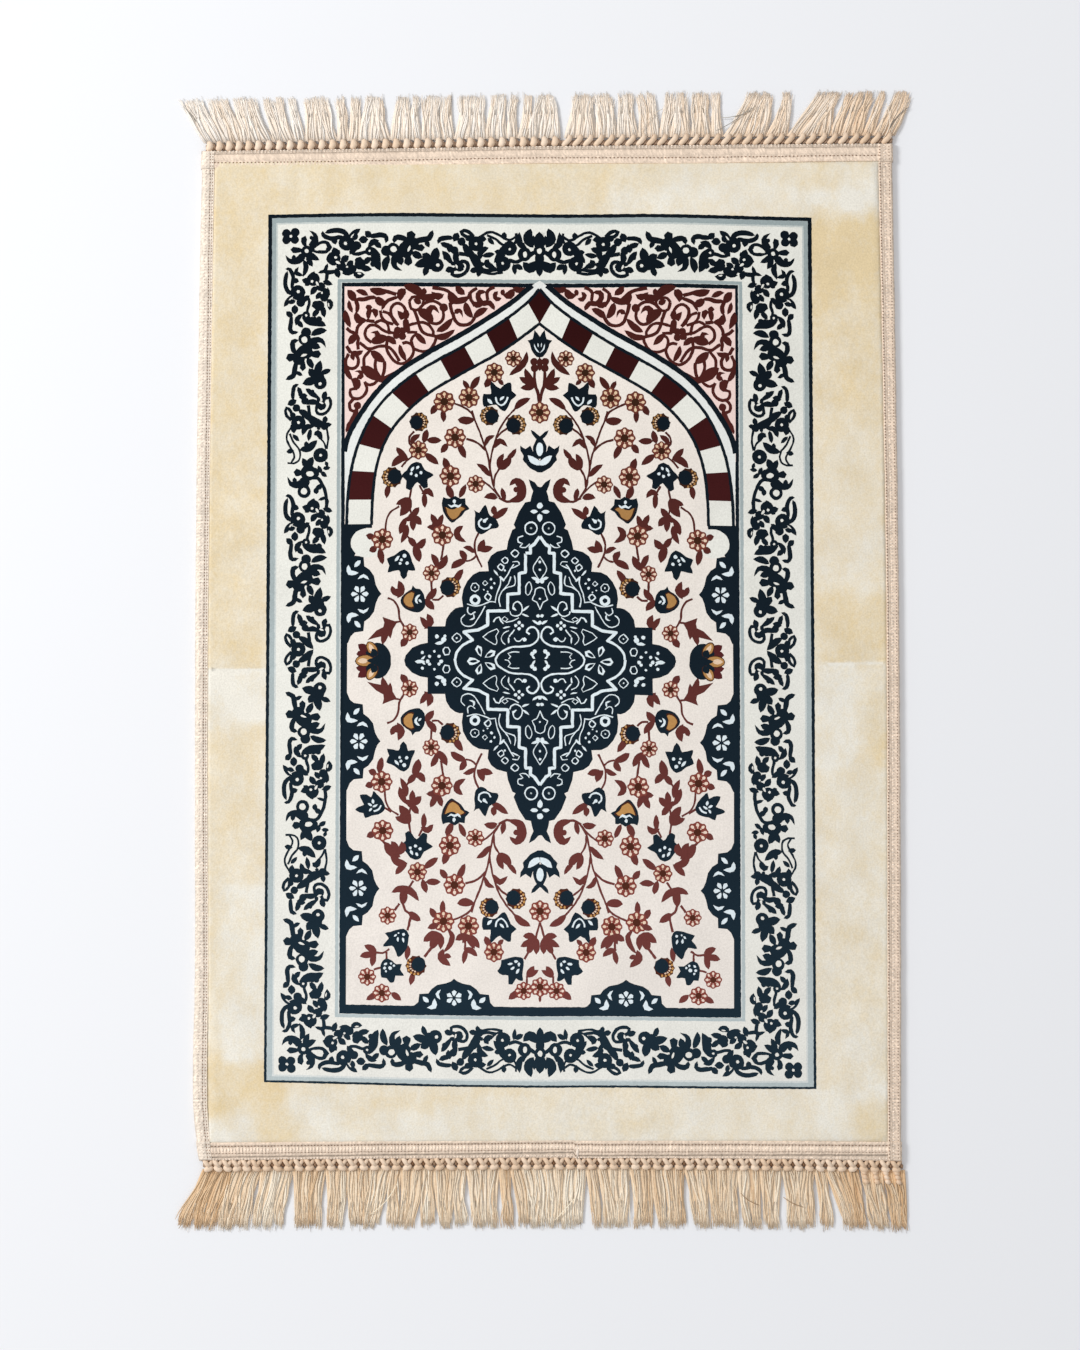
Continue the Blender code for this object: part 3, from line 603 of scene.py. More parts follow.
TULIP_MARKS = (
    ("leaf", 3.2, 454, 499, 454.5, 503.5),
    ("leaf", 2.6, 447.5, 504, 451, 506.5, 454.5, 505, 458, 506.5, 461.5, 503.5),
    ("bar", 2.4, 420, 594.5, 416.5, 597, 415.5, 600.5, 418, 603.5), ("leaf", 2.2, 418, 599.5, 421.5, 602),
)
palmette = []
PALMETTE = (
    (WINE, (("leaf", 9, 371, 652, 364, 648, 357.5, 643.5), ("leaf", 8, 368, 656, 361, 653, 355.4, 653.4))),
    (NAVY, (
        ("fill", 0, 366, 660.4, 366, 650, 370, 644.6, 376, 642, 383, 643.6, 388, 649, 390.4, 656,
         390.4, 660.4),
    )),
    (BROWN, (("oval", 8.6, 371.6, 648.4, 5.4, 60), ("oval", 10, 364.4, 660.2, 6.2, 0))),
    (GOLD, (("oval", 7.6, 371.6, 648.4, 4.4, 60), ("oval", 9, 364.4, 660.2, 5.2, 0))),
    (GILT, (("leaf", 4.4, 368.4, 643, 374, 653), ("leaf", 5.4, 356.6, 660.2, 368, 660.2))),
    (NAVY, (
        ("leaf", 5, 374, 658, 365, 651.5), ("leaf", 7, 376, 656, 371.6, 648),
        ("leaf", 6, 384, 660.2, 366, 660.2), ("leaf", 5, 380, 645, 385, 650),
    )),
)
for colour, chart in PALMETTE:
    draw(palmette, colour, chart)


def shrunk(outline, share):
    """The same outline, drawn in toward the middle of its points."""
    middle_x = sum(outline[::2]) / len(outline[::2])
    middle_y = sum(outline[1::2]) / len(outline[1::2])
    inner = []
    for x, y in zip(outline[::2], outline[1::2]):
        inner += [middle_x + share * (x - middle_x), middle_y + share * (y - middle_y)]
    return inner


quarter = []
draw(quarter, LEAF_WINE, FIELD_LEAVES, 0.5)
for place in ROSETTES[1:]:
    rosette(quarter, *place)
for place in BERRIES:
    berry(quarter, *place)
for outline in BELLS + TULIP_BACKS:
    rounded(quarter, NAVY, *outline)
for outline in TULIP_GOLD:
    rounded(quarter, BROWN, *outline)
    rounded(quarter, GOLD, *shrunk(outline, 0.84))
draw(quarter, WHITE, BELL_MARKS + TULIP_MARKS)
quarter += palmette

# The lily that stands between the arch and the medallion.
LILY = (
    ("bar", 4.6, 531.5, 429, 536, 434.5, 542, 440, 545, 449, 540.3, 458),
    ("fill", 0, 520.5, 444.5, 526, 448, 531, 444.5, 533, 450, 537, 453, 540.3, 461, 540.3, 471.5, 535,
     470, 530, 467, 526.5, 463, 523, 459, 524, 455, 521, 450),
)
LILY_MARKS = (("fill", 0, 528, 454.5, 533, 455.5, 540.3, 460.5, 540.3, 464.6, 534, 463.5, 530, 460),)
draw(quarter, NAVY, LILY)
draw(quarter, WHITE, LILY_MARKS)

upper = []
draw(upper, LEAF_WINE, LEAVES_TOP, 0.5)
for place in BERRIES_TOP:
    berry(upper, *place)
rosette(upper, *ROSETTES[0])
rounded(upper, NAVY, 535, 328.5, 538, 332, 540.3, 335.5, 540.3, 356.5, 537, 355.5, 532, 348.5, 530.4, 342.5,
        527.6, 339, 533, 337.5)
TOP_BELL_MARKS = (
    ("bar", 1.3, 534.8, 342.5, 536.2, 347.5, 540.3, 352), ("bar", 1.1, 538.4, 341.5, 538.8, 346),
)
draw(upper, WHITE, TOP_BELL_MARKS)

lower = []
draw(lower, LEAF_WINE, LEAVES_BELOW, 0.5)
for place in ROSETTES_BELOW:
    rosette(lower, *place)
for place in BERRIES_BELOW:
    berry(lower, *place)
for outline in BELLS_BELOW:
    rounded(lower, NAVY, *outline)
draw(lower, WHITE, BELL_MARKS_BELOW)

# Single flowers on the rug's long axis.
axis = []
rosette(axis, 540.3, 411.5, 20, GILT)
rosette(axis, 540.3, 910.8, 20, CREAM)
rosette(axis, 540.3, 986.6, 18, CREAM)
draw(axis, WHITE, (("oval", 3.6, 540.3, 448.4, 6.8, 0), ("oval", 3.6, 540.3, 874.4, 6.8, 0)))

# The medallion: navy, stepped and lobed, with white line work. A quarter is
# drawn and the rest is its mirror image.
medallion = []
MEDALLION = (
    529.2, 478.4, 535, 481.5, 538.5, 486, 540.3, 486.4, 540.3, 661.3, 403.8, 661.3, 405, 655, 412, 647.5,
    420, 644, 427.3, 642.7, 427.3, 626.3, 444.8, 626.3, 446, 619, 450, 612.5, 455, 608.5, 459.4, 607, 463,
    607, 461.8, 598, 463, 589, 467, 581, 472.7, 574.5, 479, 571.3, 488.5, 570.6, 487.6, 562, 491, 555.5,
    497, 551, 506.6, 548.8, 508, 541, 512.4, 529.5, 515.8, 527.6, 514, 524, 519, 511.5, 525.7, 501.7, 531,
    500.5, 532, 495, 533.5, 490.5, 531, 485,
)
patch(medallion, NAVY, *MEDALLION)
MEDALLION_STEPS = (
    (540.3, 536), (534.5, 544), (530.5, 546.5), (531, 552.6), (525.8, 552.8), (525.8, 571.8),
    (519.4, 573.2), (519.4, 593.2), (507.8, 594), (507.8, 610.6), (487.8, 611), (487.6, 625), (478, 630),
    (463.8, 631.8), (472.5, 640),
)
for a, b in zip(MEDALLION_STEPS, MEDALLION_STEPS[1:]):
    stroke(medallion, WHITE, "line", 3, *a, *b)
    oval(medallion, WHITE, *b, 1.5, 1.5, 0, 8)
MEDALLION_LINES = (
    ("line", 3, 472.5, 640, 463, 645, 456.5, 652.5, 454.6, 661.3),
    ("line", 2.4, 530, 634, 527, 632, 529, 628, 534, 627, 538, 631, 539, 637, 536, 642, 530, 645.5, 522,
     646.5, 512, 647, 503, 651, 497, 656, 495.6, 661.3),
    ("line", 1.6, 540.3, 556, 537, 561, 533.5, 568, 536.5, 575, 540.3, 580),
    ("line", 1.6, 540.3, 587, 536, 589, 535, 594, 532.6, 599.5, 537, 602, 540.3, 609.5),
    ("leaf", 3.6, 531.5, 577, 536, 578.5, 540.3, 579.5), ("leaf", 5, 536, 580, 540.3, 582),
    ("leaf", 4, 536.5, 615, 540.3, 616.5), ("leaf", 3, 532.5, 620, 540.3, 625), ("disc", 1.6, 534.6, 511),
    ("leaf", 4.4, 530.5, 511, 538.5, 511),
    ("loop", 1.5, 526, 593, 526, 586, 529.5, 581.5, 532, 586, 531, 591.5, 528, 595),
    ("line", 1.8, 513, 609, 514, 603.5, 518, 601.3, 521.5, 604.5, 522.5, 610, 520, 614.5, 515, 616, 511,
     614, 510, 611), ("horn", 3.2, 512.5, 607.5, 517, 610.5), ("leaf", 2.8, 522.5, 611, 529.5, 605.5),
    ("leaf", 2.8, 521.5, 613.5, 529.5, 616.5),
    ("line", 2, 493.5, 622, 496, 618, 499, 617, 501, 621, 503.5, 623.5),
    ("loop", 1.4, 501.5, 619, 505, 616.5, 508, 619, 505.5, 621.5),
    ("line", 1.6, 506, 622, 512, 621, 519, 617.5), ("disc", 2.1, 515.8, 625.5),
    ("disc", 2.1, 522.6, 625.5), ("disc", 2.1, 519.2, 622.6), ("disc", 2.1, 519.2, 628.6),
    ("leaf", 2.2, 502.5, 628, 510.5, 626.5),
    ("line", 1.5, 483, 637, 488, 632.5, 494, 630, 497, 628.7, 498.6, 631.5, 496, 636, 497, 640.5, 495.5,
     644.6, 491, 642.5, 486, 639.5, 482.6, 636.6),
    ("line", 1.5, 509, 630.5, 504, 633, 501.2, 638, 503, 642.5, 505.5, 644.5),
    ("bar", 2.2, 508.5, 636.5, 508.8, 643.5), ("line", 1.9, 514.5, 629.5, 512, 633, 509, 636.5),
    ("line", 1.7, 514.5, 637.5, 516.5, 641, 520, 641, 523, 638), ("disc", 2.5, 524.8, 639.4),
    ("line", 1.7, 519.5, 652, 512, 652, 508, 653.5, 510.5, 656.5, 508.5, 659.6, 505, 660.6),
    ("disc", 2.5, 535, 651.4), ("disc", 2.5, 532.4, 653.8), ("leaf", 2.8, 532, 655, 535.5, 660),
    ("petal", 7.6, 481, 656.5, 477.4, 645.4), ("petal", 7.6, 484.6, 657.6, 495.4, 651.2),
    ("disc", 1.7, 434, 651.2), ("disc", 2, 438.8, 656.2), ("disc", 2, 429.2, 656.2),
    ("loop", 1.7, 442.6, 650, 444.5, 647.3, 448, 647.6, 449.8, 650.6, 448.6, 654.4, 444.6, 655),
    ("loop", 1.6, 451.6, 638, 456.5, 633.2, 461.4, 638, 456.5, 642.8), ("disc", 1.2, 456.5, 638),
    ("disc", 2.4, 436.6, 636.4), ("leaf", 4, 434.5, 643.5, 444, 642.5), ("disc", 3, 443.4, 639.5),
    ("disc", 2, 444.5, 636), ("disc", 2, 422, 652.2), ("leaf", 2.8, 425, 655.5, 420, 660.5),
    ("loop", 1.5, 470.4, 587, 472.5, 583.6, 476, 583, 479, 586, 478.6, 589.6, 475, 591.4, 471.6, 590),
    ("disc", 1.2, 475, 587.2), ("loop", 1.5, 482.4, 583, 485, 580.4, 487.6, 583, 485, 585.6),
    ("disc", 1.8, 491, 579), ("disc", 1.6, 494.5, 583), ("disc", 1.9, 491.4, 587.4),
    ("disc", 1.2, 483.6, 589.6), ("disc", 1.2, 487.6, 591.6),
    ("loop", 1.9, 484.4, 597, 487.4, 593.4, 491, 596.4, 488.6, 600.4),
    ("loop", 1.7, 501.6, 560, 505, 556.8, 508.4, 560, 505, 563.4),
    ("loop", 1.8, 511, 553, 515, 549.4, 519, 553, 515, 556.8),
    ("loop", 1.9, 497.6, 567, 500.5, 563.6, 504, 566, 502, 570.4),
    ("leaf", 2.6, 493.5, 569.5, 498.5, 575.5), ("disc", 1.5, 505, 570), ("leaf", 3, 499, 576, 505, 581),
    ("line", 1.8, 514, 564, 510.5, 569, 508, 574, 503, 581),
    ("line", 1.7, 500.5, 576, 500.5, 584, 497, 593, 495.4, 601.5),
    ("line", 1.7, 514.5, 575, 515.5, 580, 514.5, 585, 508, 587, 502, 591, 499, 599, 500.3, 606.5),
    ("line", 1.6, 511, 576.5, 508.5, 583.5, 503, 590), ("leaf", 2, 511, 568.5, 519.5, 564.5),
    ("line", 1.5, 512.5, 561.5, 518, 561, 519.6, 564.5),
    ("line", 1.7, 467, 604, 476, 606, 484, 604, 490, 601.5, 496, 602),
    ("line", 1.7, 485, 606, 480, 615, 474, 624, 468, 626.4, 462, 624, 461, 618.5, 465, 614.5),
    ("line", 1.7, 468, 607, 467.5, 612, 471, 614.5, 475, 611.5),
    ("leaf", 2.6, 473, 613, 474, 618, 469, 620),
    ("line", 1.7, 523.5, 535.5, 518.5, 537, 518.6, 541.5, 523, 543, 520, 546.5, 526, 547, 530, 543.5),
)
draw(medallion, WHITE, MEDALLION_LINES, -0.6)
draw(medallion, WHITE, (("disc", 6.9, 531.4, 527.8), ("disc", 5.4, 475, 599.8)))
draw(medallion, NAVY, (("disc", 5.5, 531.4, 527.8), ("disc", 2.6, 475, 599.8),
                       ("leaf", 3, 480.4, 655, 478.2, 647.4), ("leaf", 3, 486, 656.8, 493, 652.4)))
draw(medallion, GREY_BLUE, (("disc", 1.2, 531.4, 527.8),))
medallion_axis = []
draw(medallion_axis, WHITE, (
    ("disc", 3, 540.3, 505), ("disc", 2.6, 540.3, 516), ("leaf", 5, 540.3, 513, 540.3, 521.5),
    ("disc", 1.5, 540.3, 561.5), ("disc", 1.3, 540.3, 569.5), ("disc", 1.2, 540.3, 598.5),
    ("disc", 2, 540.3, 622.5),
))
medallion_side = []
draw(medallion_side, WHITE, (
    ("petal", 7.8, 480, 661.3, 466.8, 661.3), ("disc", 2, 440.8, 661.3), ("disc", 2, 427.2, 661.3),
    ("leaf", 4, 414.5, 661.3, 424.5, 661.3),
))
draw(medallion_side, NAVY, (("leaf", 3, 478, 661.3, 468.6, 661.3), ("disc", 1.4, 483, 661.3)))

# The border band. One chart serves the side band, and the band across the
# ends with its x and y changed over. x counts in from the outer line and y
# along from the corner, from 280, 225.
BORDER_CORNER = (280.0, 225.0)
CORNER_FLOWER = (
    ("disc", 4.1, 5.6, 6.4), ("disc", 4.2, 14.4, 5.6), ("disc", 4.1, 5.6, 13), ("disc", 4, 14, 13),
    ("disc", 4.6, 10, 9.6), ("disc", 5.6, 26, 25), ("petal", 5.6, 26, 22, 23, 15, 24.8, 9),
    ("petal", 5.8, 24, 24, 9.5, 23), ("horn", 7.4, 24, 27, 17, 34, 9, 34, 4.6, 28),
    ("leaf", 4, 13.5, 34, 13, 28), ("leaf", 4.4, 18, 40, 15, 46, 23, 49),
    ("leaf", 5.2, 23, 33, 25.4, 41, 22, 50.5), ("leaf", 5.8, 27, 26, 33, 31, 39, 34),
    ("leaf", 5.6, 27, 26, 29, 35, 32, 40.5),
    ("loop", 2.8, 30.5, 23.5, 36, 18.5, 42, 16, 47, 17, 49, 21.5, 45, 25.6, 38, 25.6),
    ("leaf", 5, 44.5, 16.5, 49, 21, 44.5, 26), ("horn", 7.4, 30, 23, 34.5, 14, 34, 8, 28.5, 4),
    ("disc", 1.9, 31, 11.5),
)
SPRAY = (
    ("bar", 3.8, 7, 44, 5, 50, 4.5, 57, 6, 63, 10, 66.5, 16, 67),
    ("bar", 3.4, 4.5, 42, 9, 42.5, 12, 48, 12.5, 53, 11.4, 58, 11, 64), ("leaf", 5, 11, 53, 18.5, 55),
    ("disc", 7.3, 17, 66), ("leaf", 4.6, 12, 68, 8, 73, 3, 80), ("leaf", 4.2, 7, 76, 15, 74),
    ("disc", 4, 20, 76), ("leaf", 5, 19, 77, 25, 72, 29, 69),
    ("bar", 2.4, 28, 70, 28.5, 78, 26.5, 84, 28, 91), ("leaf", 6.6, 14, 78, 14, 88),
    ("leaf", 5.2, 5.5, 84.5, 12, 91), ("bar", 3.8, 11, 88, 10, 96, 9.5, 102, 12, 106, 18, 105),
    ("leaf", 5, 22, 87, 17, 92, 15, 99), ("leaf", 4.6, 16, 94, 22.5, 101), ("disc", 3.8, 25.4, 89),
    ("leaf", 8.4, 21, 91, 30, 95, 37, 96, 45.6, 100), ("disc", 2.8, 34, 93.4), ("disc", 2.6, 38.4, 93),
    ("disc", 6.4, 32.5, 53), ("leaf", 6.6, 34, 54, 28, 55, 21, 53), ("leaf", 5.6, 31, 53, 33.5, 45),
    ("leaf", 4.8, 29, 55, 24, 59), ("bar", 3, 37, 47, 45.6, 45, 46, 52, 44.5, 57),
    ("leaf", 5, 42, 55, 52, 58.5), ("leaf", 5.6, 36, 60, 30, 68.5), ("disc", 4.2, 40, 60.5),
    ("disc", 3.2, 43.5, 65), ("leaf", 4.8, 35, 73, 41, 65.5), ("disc", 4, 43.6, 71.4),
    ("bar", 3, 47, 61, 47.6, 68, 45, 74), ("leaf", 5.6, 46, 73, 49.5, 77, 49, 84.5),
    ("leaf", 8, 31, 80, 40, 77), ("disc", 5, 38.4, 79.6), ("leaf", 5.2, 41.5, 79, 44, 91.5),
    ("leaf", 5, 38.5, 83, 31.5, 90.5),
)
SPRAY_GAPS = (
    ("disc", 1.8, 17.6, 65), ("disc", 1.3, 25.4, 89), ("disc", 1.5, 31.4, 55),
    ("oval", 2.6, 36.6, 57.4, 1.3, 60), ("leaf", 1.4, 8, 73.5, 12.5, 70),
    ("leaf", 1.4, 47.6, 76.5, 48.4, 81), ("leaf", 2, 8.4, 48, 8.2, 55, 8.6, 62),
    ("disc", 1.2, 41.2, 66.6),
)
HORNED_FLOWER = (
    ("disc", 6, 24, 112.6), ("disc", 4.7, 25.4, 106), ("leaf", 6.2, 30, 109, 38, 105, 46.5, 104.5),
    ("horn", 6.6, 26, 119, 34, 114, 41, 114.5, 45.5, 122), ("leaf", 6.4, 29, 118, 40, 121.5),
    ("bar", 4.4, 18, 113.5, 12.5, 115, 12, 121, 15, 128), ("disc", 5.4, 20, 127), ("disc", 6, 26, 126),
    ("disc", 6, 18, 132), ("leaf", 9, 15, 126, 33, 119.5), ("petal", 7.6, 19, 129, 5, 131.5),
    ("petal", 7.2, 27, 128, 40.6, 128), ("petal", 5.8, 22.6, 132, 22, 145),
    ("leaf", 5.8, 26.5, 131, 32.5, 142.5), ("bar", 4.6, 16, 133, 14, 143, 12.5, 149, 4.6, 152.8),
    ("leaf", 3.6, 14, 145, 22, 149),
)
HORNED_GAPS = (("oval", 3, 23.7, 113.2, 3.2, 0), ("leaf", 2.4, 20, 129.8, 26.5, 127.6))
RINGED_STAR = (
    ("leaf", 7.6, 35, 152, 40, 134), ("leaf", 7.4, 35, 151, 28, 142), ("leaf", 8, 37, 153, 21.5, 157),
    ("leaf", 4.8, 40, 147.5, 50.5, 143.4), ("disc", 6.4, 37, 151), ("disc", 6.3, 39.6, 156.6),
)
RINGED_GAPS = (("disc", 1.8, 39.4, 157.6),)
CHAIN = (
    ("bar", 3.5, 18.5, 157.6, 13.5, 160, 12, 168, 12.6, 174), ("leaf", 6, 6.6, 178, 16, 173.5),
    ("bar", 4.2, 17, 160, 19.6, 166, 20, 171.5), ("leaf", 6, 18, 171, 27, 169),
    ("disc", 3.4, 24.4, 174.4), ("leaf", 5, 23, 177.4, 32, 175.6, 39, 178),
    ("leaf", 4.8, 25, 162, 31, 167, 39, 172.6), ("disc", 1.9, 31.6, 165.4),
    ("bar", 3, 37.6, 170, 38, 177),
    ("loop", 2.5, 42, 178, 44.6, 172.4, 48.6, 172, 50.2, 178, 47.6, 184.6, 42, 188, 37, 187, 35.6, 182),
    ("leaf", 5, 45.6, 165, 42, 174), ("disc", 4.2, 41, 179.6), ("leaf", 4.4, 34, 182, 41, 178),
    ("disc", 3.5, 15.6, 181.4), ("loop", 2.4, 10.6, 193.6, 6, 189, 4.6, 184, 6, 181, 10, 184.6, 11, 190),
    ("leaf", 6.6, 17, 183, 25, 188, 33, 196), ("disc", 7, 17.6, 196), ("disc", 2.6, 12, 188.4),
    ("leaf", 5.4, 12, 196, 13.4, 207), ("line", 2.5, 27.6, 179, 29, 188, 30.4, 193),
    ("leaf", 8.2, 27, 188, 34, 195.6, 46.6, 200),
)
CHAIN_GAPS = (("disc", 1.6, 17.8, 196), ("leaf", 2, 38.4, 175.6, 43, 177.4), ("disc", 1.3, 42.6, 184.6))
BELL_CURVES = (
    ("leaf", 4.6, 45, 189.6, 43.6, 198), ("leaf", 4, 51, 198, 43, 199.4), ("disc", 3.7, 44, 200),
    ("leaf", 5.6, 21.6, 209, 25, 201, 34, 200), ("leaf", 4.2, 30, 202, 27.6, 215),
    ("leaf", 6, 33, 209, 37, 207, 42, 212.6), ("disc", 1.6, 38, 202),
    ("line", 1.3, 11, 200, 6.5, 207, 6, 213, 9, 220, 12.5, 226, 13.5, 231, 10, 236.6),
    ("line", 1.3, 9, 207, 13, 216, 18, 222, 19.6, 228, 18, 234, 13, 236.6, 6.6, 236.4),
    ("leaf", 3.6, 11.6, 207.6, 18.6, 214.6), ("leaf", 4.4, 5.4, 225, 13.6, 224),
    ("leaf", 7.2, 18.6, 223.4, 28, 221.6, 36.6, 214), ("leaf", 4.2, 26, 222, 25.4, 214.6),
    ("line", 1.5, 46, 202, 47.6, 212, 46, 223), ("line", 1.3, 38, 211, 43, 216, 45.6, 223),
)
SIDE_END = (
    ("disc", 7.2, 40, 229), ("leaf", 3.6, 37.6, 239, 41, 248), ("leaf", 4, 39.6, 245.6, 46.6, 250.6),
    ("leaf", 3.6, 42, 242.4, 50, 241.6), ("leaf", 3, 44.6, 235, 47.4, 241),
    ("leaf", 5.6, 27, 243, 21.8, 231.4), ("leaf", 7, 26, 243, 32.4, 230.4),
    ("petal", 7, 24, 247, 12.6, 245.6), ("leaf", 6, 29, 241.6, 35.6, 246, 33.4, 253),
    ("disc", 7.6, 27.6, 246.6), ("horn", 7.6, 27, 252, 18, 258, 10, 257, 6.6, 249.6),
    ("leaf", 4, 14, 257.6, 13.6, 250.6),
    ("line", 2.8, 29, 252, 37, 252, 42, 259, 45, 267, 46, 277, 45.6, 283), ("disc", 6.4, 23.4, 265),
    ("leaf", 3.4, 28.6, 253, 25, 261), ("leaf", 4.6, 36, 268, 35, 261), ("leaf", 4.8, 35, 263.4, 42, 258),
)
SIDE_END_GAPS = (("disc", 1.6, 40, 229), ("oval", 3.8, 29.4, 247.4, 2.6, 10), ("disc", 3.3, 23.2, 264.8))
# The band across the ends finishes in its own way, on a lotus at the rug's
# axis. In these charts x runs along the band and y counts in from its edge.
END_MIDDLE = (
    ("disc", 7, 223.6, 37.4), ("line", 2.4, 217, 43, 207, 44.4, 199, 42),
    ("leaf", 3.6, 234, 37, 235.6, 48.6), ("leaf", 4.4, 235, 38, 243.6, 43),
    ("line", 2.4, 229, 33.6, 236, 35.6, 243, 33, 247, 30), ("disc", 6.8, 230, 22), ("disc", 6.4, 245, 28),
    ("leaf", 5.6, 243.6, 23, 239.6, 15, 240, 5.6), ("line", 2.8, 242.6, 17, 246.6, 24),
    ("leaf", 8.6, 254, 21, 248.6, 12, 251.6, 1.6), ("leaf", 3.6, 254, 19, 254.4, 8.6),
    ("bar", 3.2, 257, 24, 250, 29, 246.6, 32), ("leaf", 9, 260, 35, 250, 41.6, 243.6, 35.6),
    ("leaf", 5, 252, 36, 249.6, 44.4),
)
LOTUS = (
    ("leaf", 10.6, 260.3, 25, 260.3, 5), ("disc", 5.6, 260.3, 24.4), ("bar", 8, 260.3, 27, 260.3, 38),
    ("leaf", 6.8, 260.3, 34, 260.3, 50),
)
END_GAPS = (("disc", 1.5, 223, 37), ("disc", 1.4, 230, 22.8), ("oval", 3.2, 245.4, 28, 2, 90))
LOTUS_GAP = (("oval", 2.9, 260.3, 24.4, 2.5, 90),)


def placed(chart, shift=0.0, changed_over=False):
    """The rows of a border chart set in place, with x and y changed over to use it across an end."""
    rows = []
    for kind, width, *run in chart:
        spots = list(run)
        for n in range(0, 2 if kind in ("disc", "oval") else len(run), 2):
            x, y = run[n], run[n + 1] + shift
            if changed_over:
                x, y = y, x
            spots[n : n + 2] = BORDER_CORNER[0] + x, BORDER_CORNER[1] + y
        if changed_over and kind == "oval":
            spots[3] = 90 - spots[3]
        rows.append((kind, width, *spots))
    return rows


REPEAT = 227.0
BORDER_MIDDLE = 13.2
CORNER_GAPS = (("disc", 1.5, 10, 9.6), ("disc", 2.1, 26, 24.6), ("leaf", 3.6, 34, 23.6, 43.6, 20.6))
border = []
draw(border, NAVY, placed(CORNER_FLOWER), 0.6)
draw(border, IVORY, placed(CORNER_GAPS))
SIDE_RUN = ((SPRAY, 0), (HORNED_FLOWER, 0), (RINGED_STAR, 0), (CHAIN, 0), (BELL_CURVES, 0), (SIDE_END, 0),
            (SPRAY, REPEAT), (HORNED_FLOWER, REPEAT), (RINGED_STAR, REPEAT), (CHAIN[:-1], REPEAT))
SIDE_RUN_GAPS = (
    (SPRAY_GAPS, 0), (HORNED_GAPS, 0), (RINGED_GAPS, 0), (CHAIN_GAPS, 0), (SIDE_END_GAPS, 0),
    (SPRAY_GAPS, REPEAT), (HORNED_GAPS, REPEAT), (RINGED_GAPS, REPEAT), (CHAIN_GAPS, REPEAT),
)
for chart, shift in SIDE_RUN:
    draw(border, NAVY, placed(chart, shift), 0.8)
for chart, shift in SIDE_RUN_GAPS:
    draw(border, IVORY, placed(chart, shift))


def end_band(fuller):
    """The flowers of the border across one end, on the left half, each mark fuller by this much."""
    made = []
    for chart in (SPRAY, HORNED_FLOWER, RINGED_STAR, CHAIN, BELL_CURVES):
        draw(made, NAVY, placed(chart, 0, True), fuller)
    for chart in (SPRAY_GAPS, HORNED_GAPS, RINGED_GAPS, CHAIN_GAPS):
        draw(made, IVORY, placed(chart, 0, True))
    draw(made, NAVY, placed(END_MIDDLE + LOTUS), fuller)
    draw(made, IVORY, placed(END_GAPS))
    draw(made, IVORY, placed(LOTUS_GAP))
    return made


painted = ground
painted += mirrored(spandrel, across=True)
painted += mirrored(arch_ground, across=True)
painted += mirrored(arch, across=True)
painted += mirrored(sides, across=True)
painted += mirrored(mirrored(quarter, along=FIELD_MIDDLE) + upper + lower, across=True)
painted += axis
painted += mirrored(mirrored(medallion + medallion_axis, along=FIELD_MIDDLE) + medallion_side, across=True)
near_band = end_band(0.9)
near_band = mirrored(near_band, along=BORDER_MIDDLE)[len(near_band) :]
painted += mirrored(mirrored(border, along=BORDER_MIDDLE) + end_band(1.5) + near_band, across=True)


# How the print lies on the rug, in millimetres.
PRINT_HALF_WIDTH = 273
PRINT_HALF_LENGTH = 430
PRINT_LEFT_BY = 7.1
PRINT_LOW_BY = 7.2
PRINT_LEAN = 0.0022
FRAY = 0.5
FRAY_SIZE = 1.6


# The noise starts from the same place at each run.
noise.seed_set(7)


def on_rug(p):
    """Where a place of the true print comes to lie on the rug, whose corners hang unevenly."""
    u, v = p
    share = abs(u) / PRINT_HALF_WIDTH
    far, near = max(v, 0) / PRINT_HALF_LENGTH, max(-v, 0) / PRINT_HALF_LENGTH
    hump = math.sin(math.pi * min(share, 1))
    shift = (0.5 + PRINT_LEAN * max(v, 0)) * (0.5 + 0.5 * math.tanh(u / 60))
    if u > 0:
        drop = share**1.3 * (4.3 + 0.0039 * v)
    else:
        drop = share**2 * (0.6 + 0.0145 * min(v, 0)) - 0.0022 * max(v, 0) * hump
        drop -= 1.2 * hump * near
    drop += 0.3 * math.sin(u / 47 + v / 160) * min(1, abs(u) / 80)
    drop += far * (1.5 + 0.7 * math.exp(-((u / 80) ** 2))) * (0.5 - 0.5 * math.tanh((u - 95) / 35))
    drop += near * (0.5 * math.exp(-(((u + 40) / 160) ** 2)) - 0.4 * max(0, u / PRINT_HALF_WIDTH))
    narrowed = max(0, -u / PRINT_HALF_WIDTH)
    narrowed -= (0.45 - 0.45 * v / PRINT_HALF_LENGTH) * max(0, u / PRINT_HALF_WIDTH)
    x, y = u + narrowed - shift - PRINT_LEFT_BY + PRINT_LEAN * v, v - drop - PRINT_LOW_BY
    ragged = noise.noise_vector(Vector((x / FRAY_SIZE, y / FRAY_SIZE, 3.0)))
    return Vector((x + FRAY * ragged.x, y + FRAY * ragged.y))


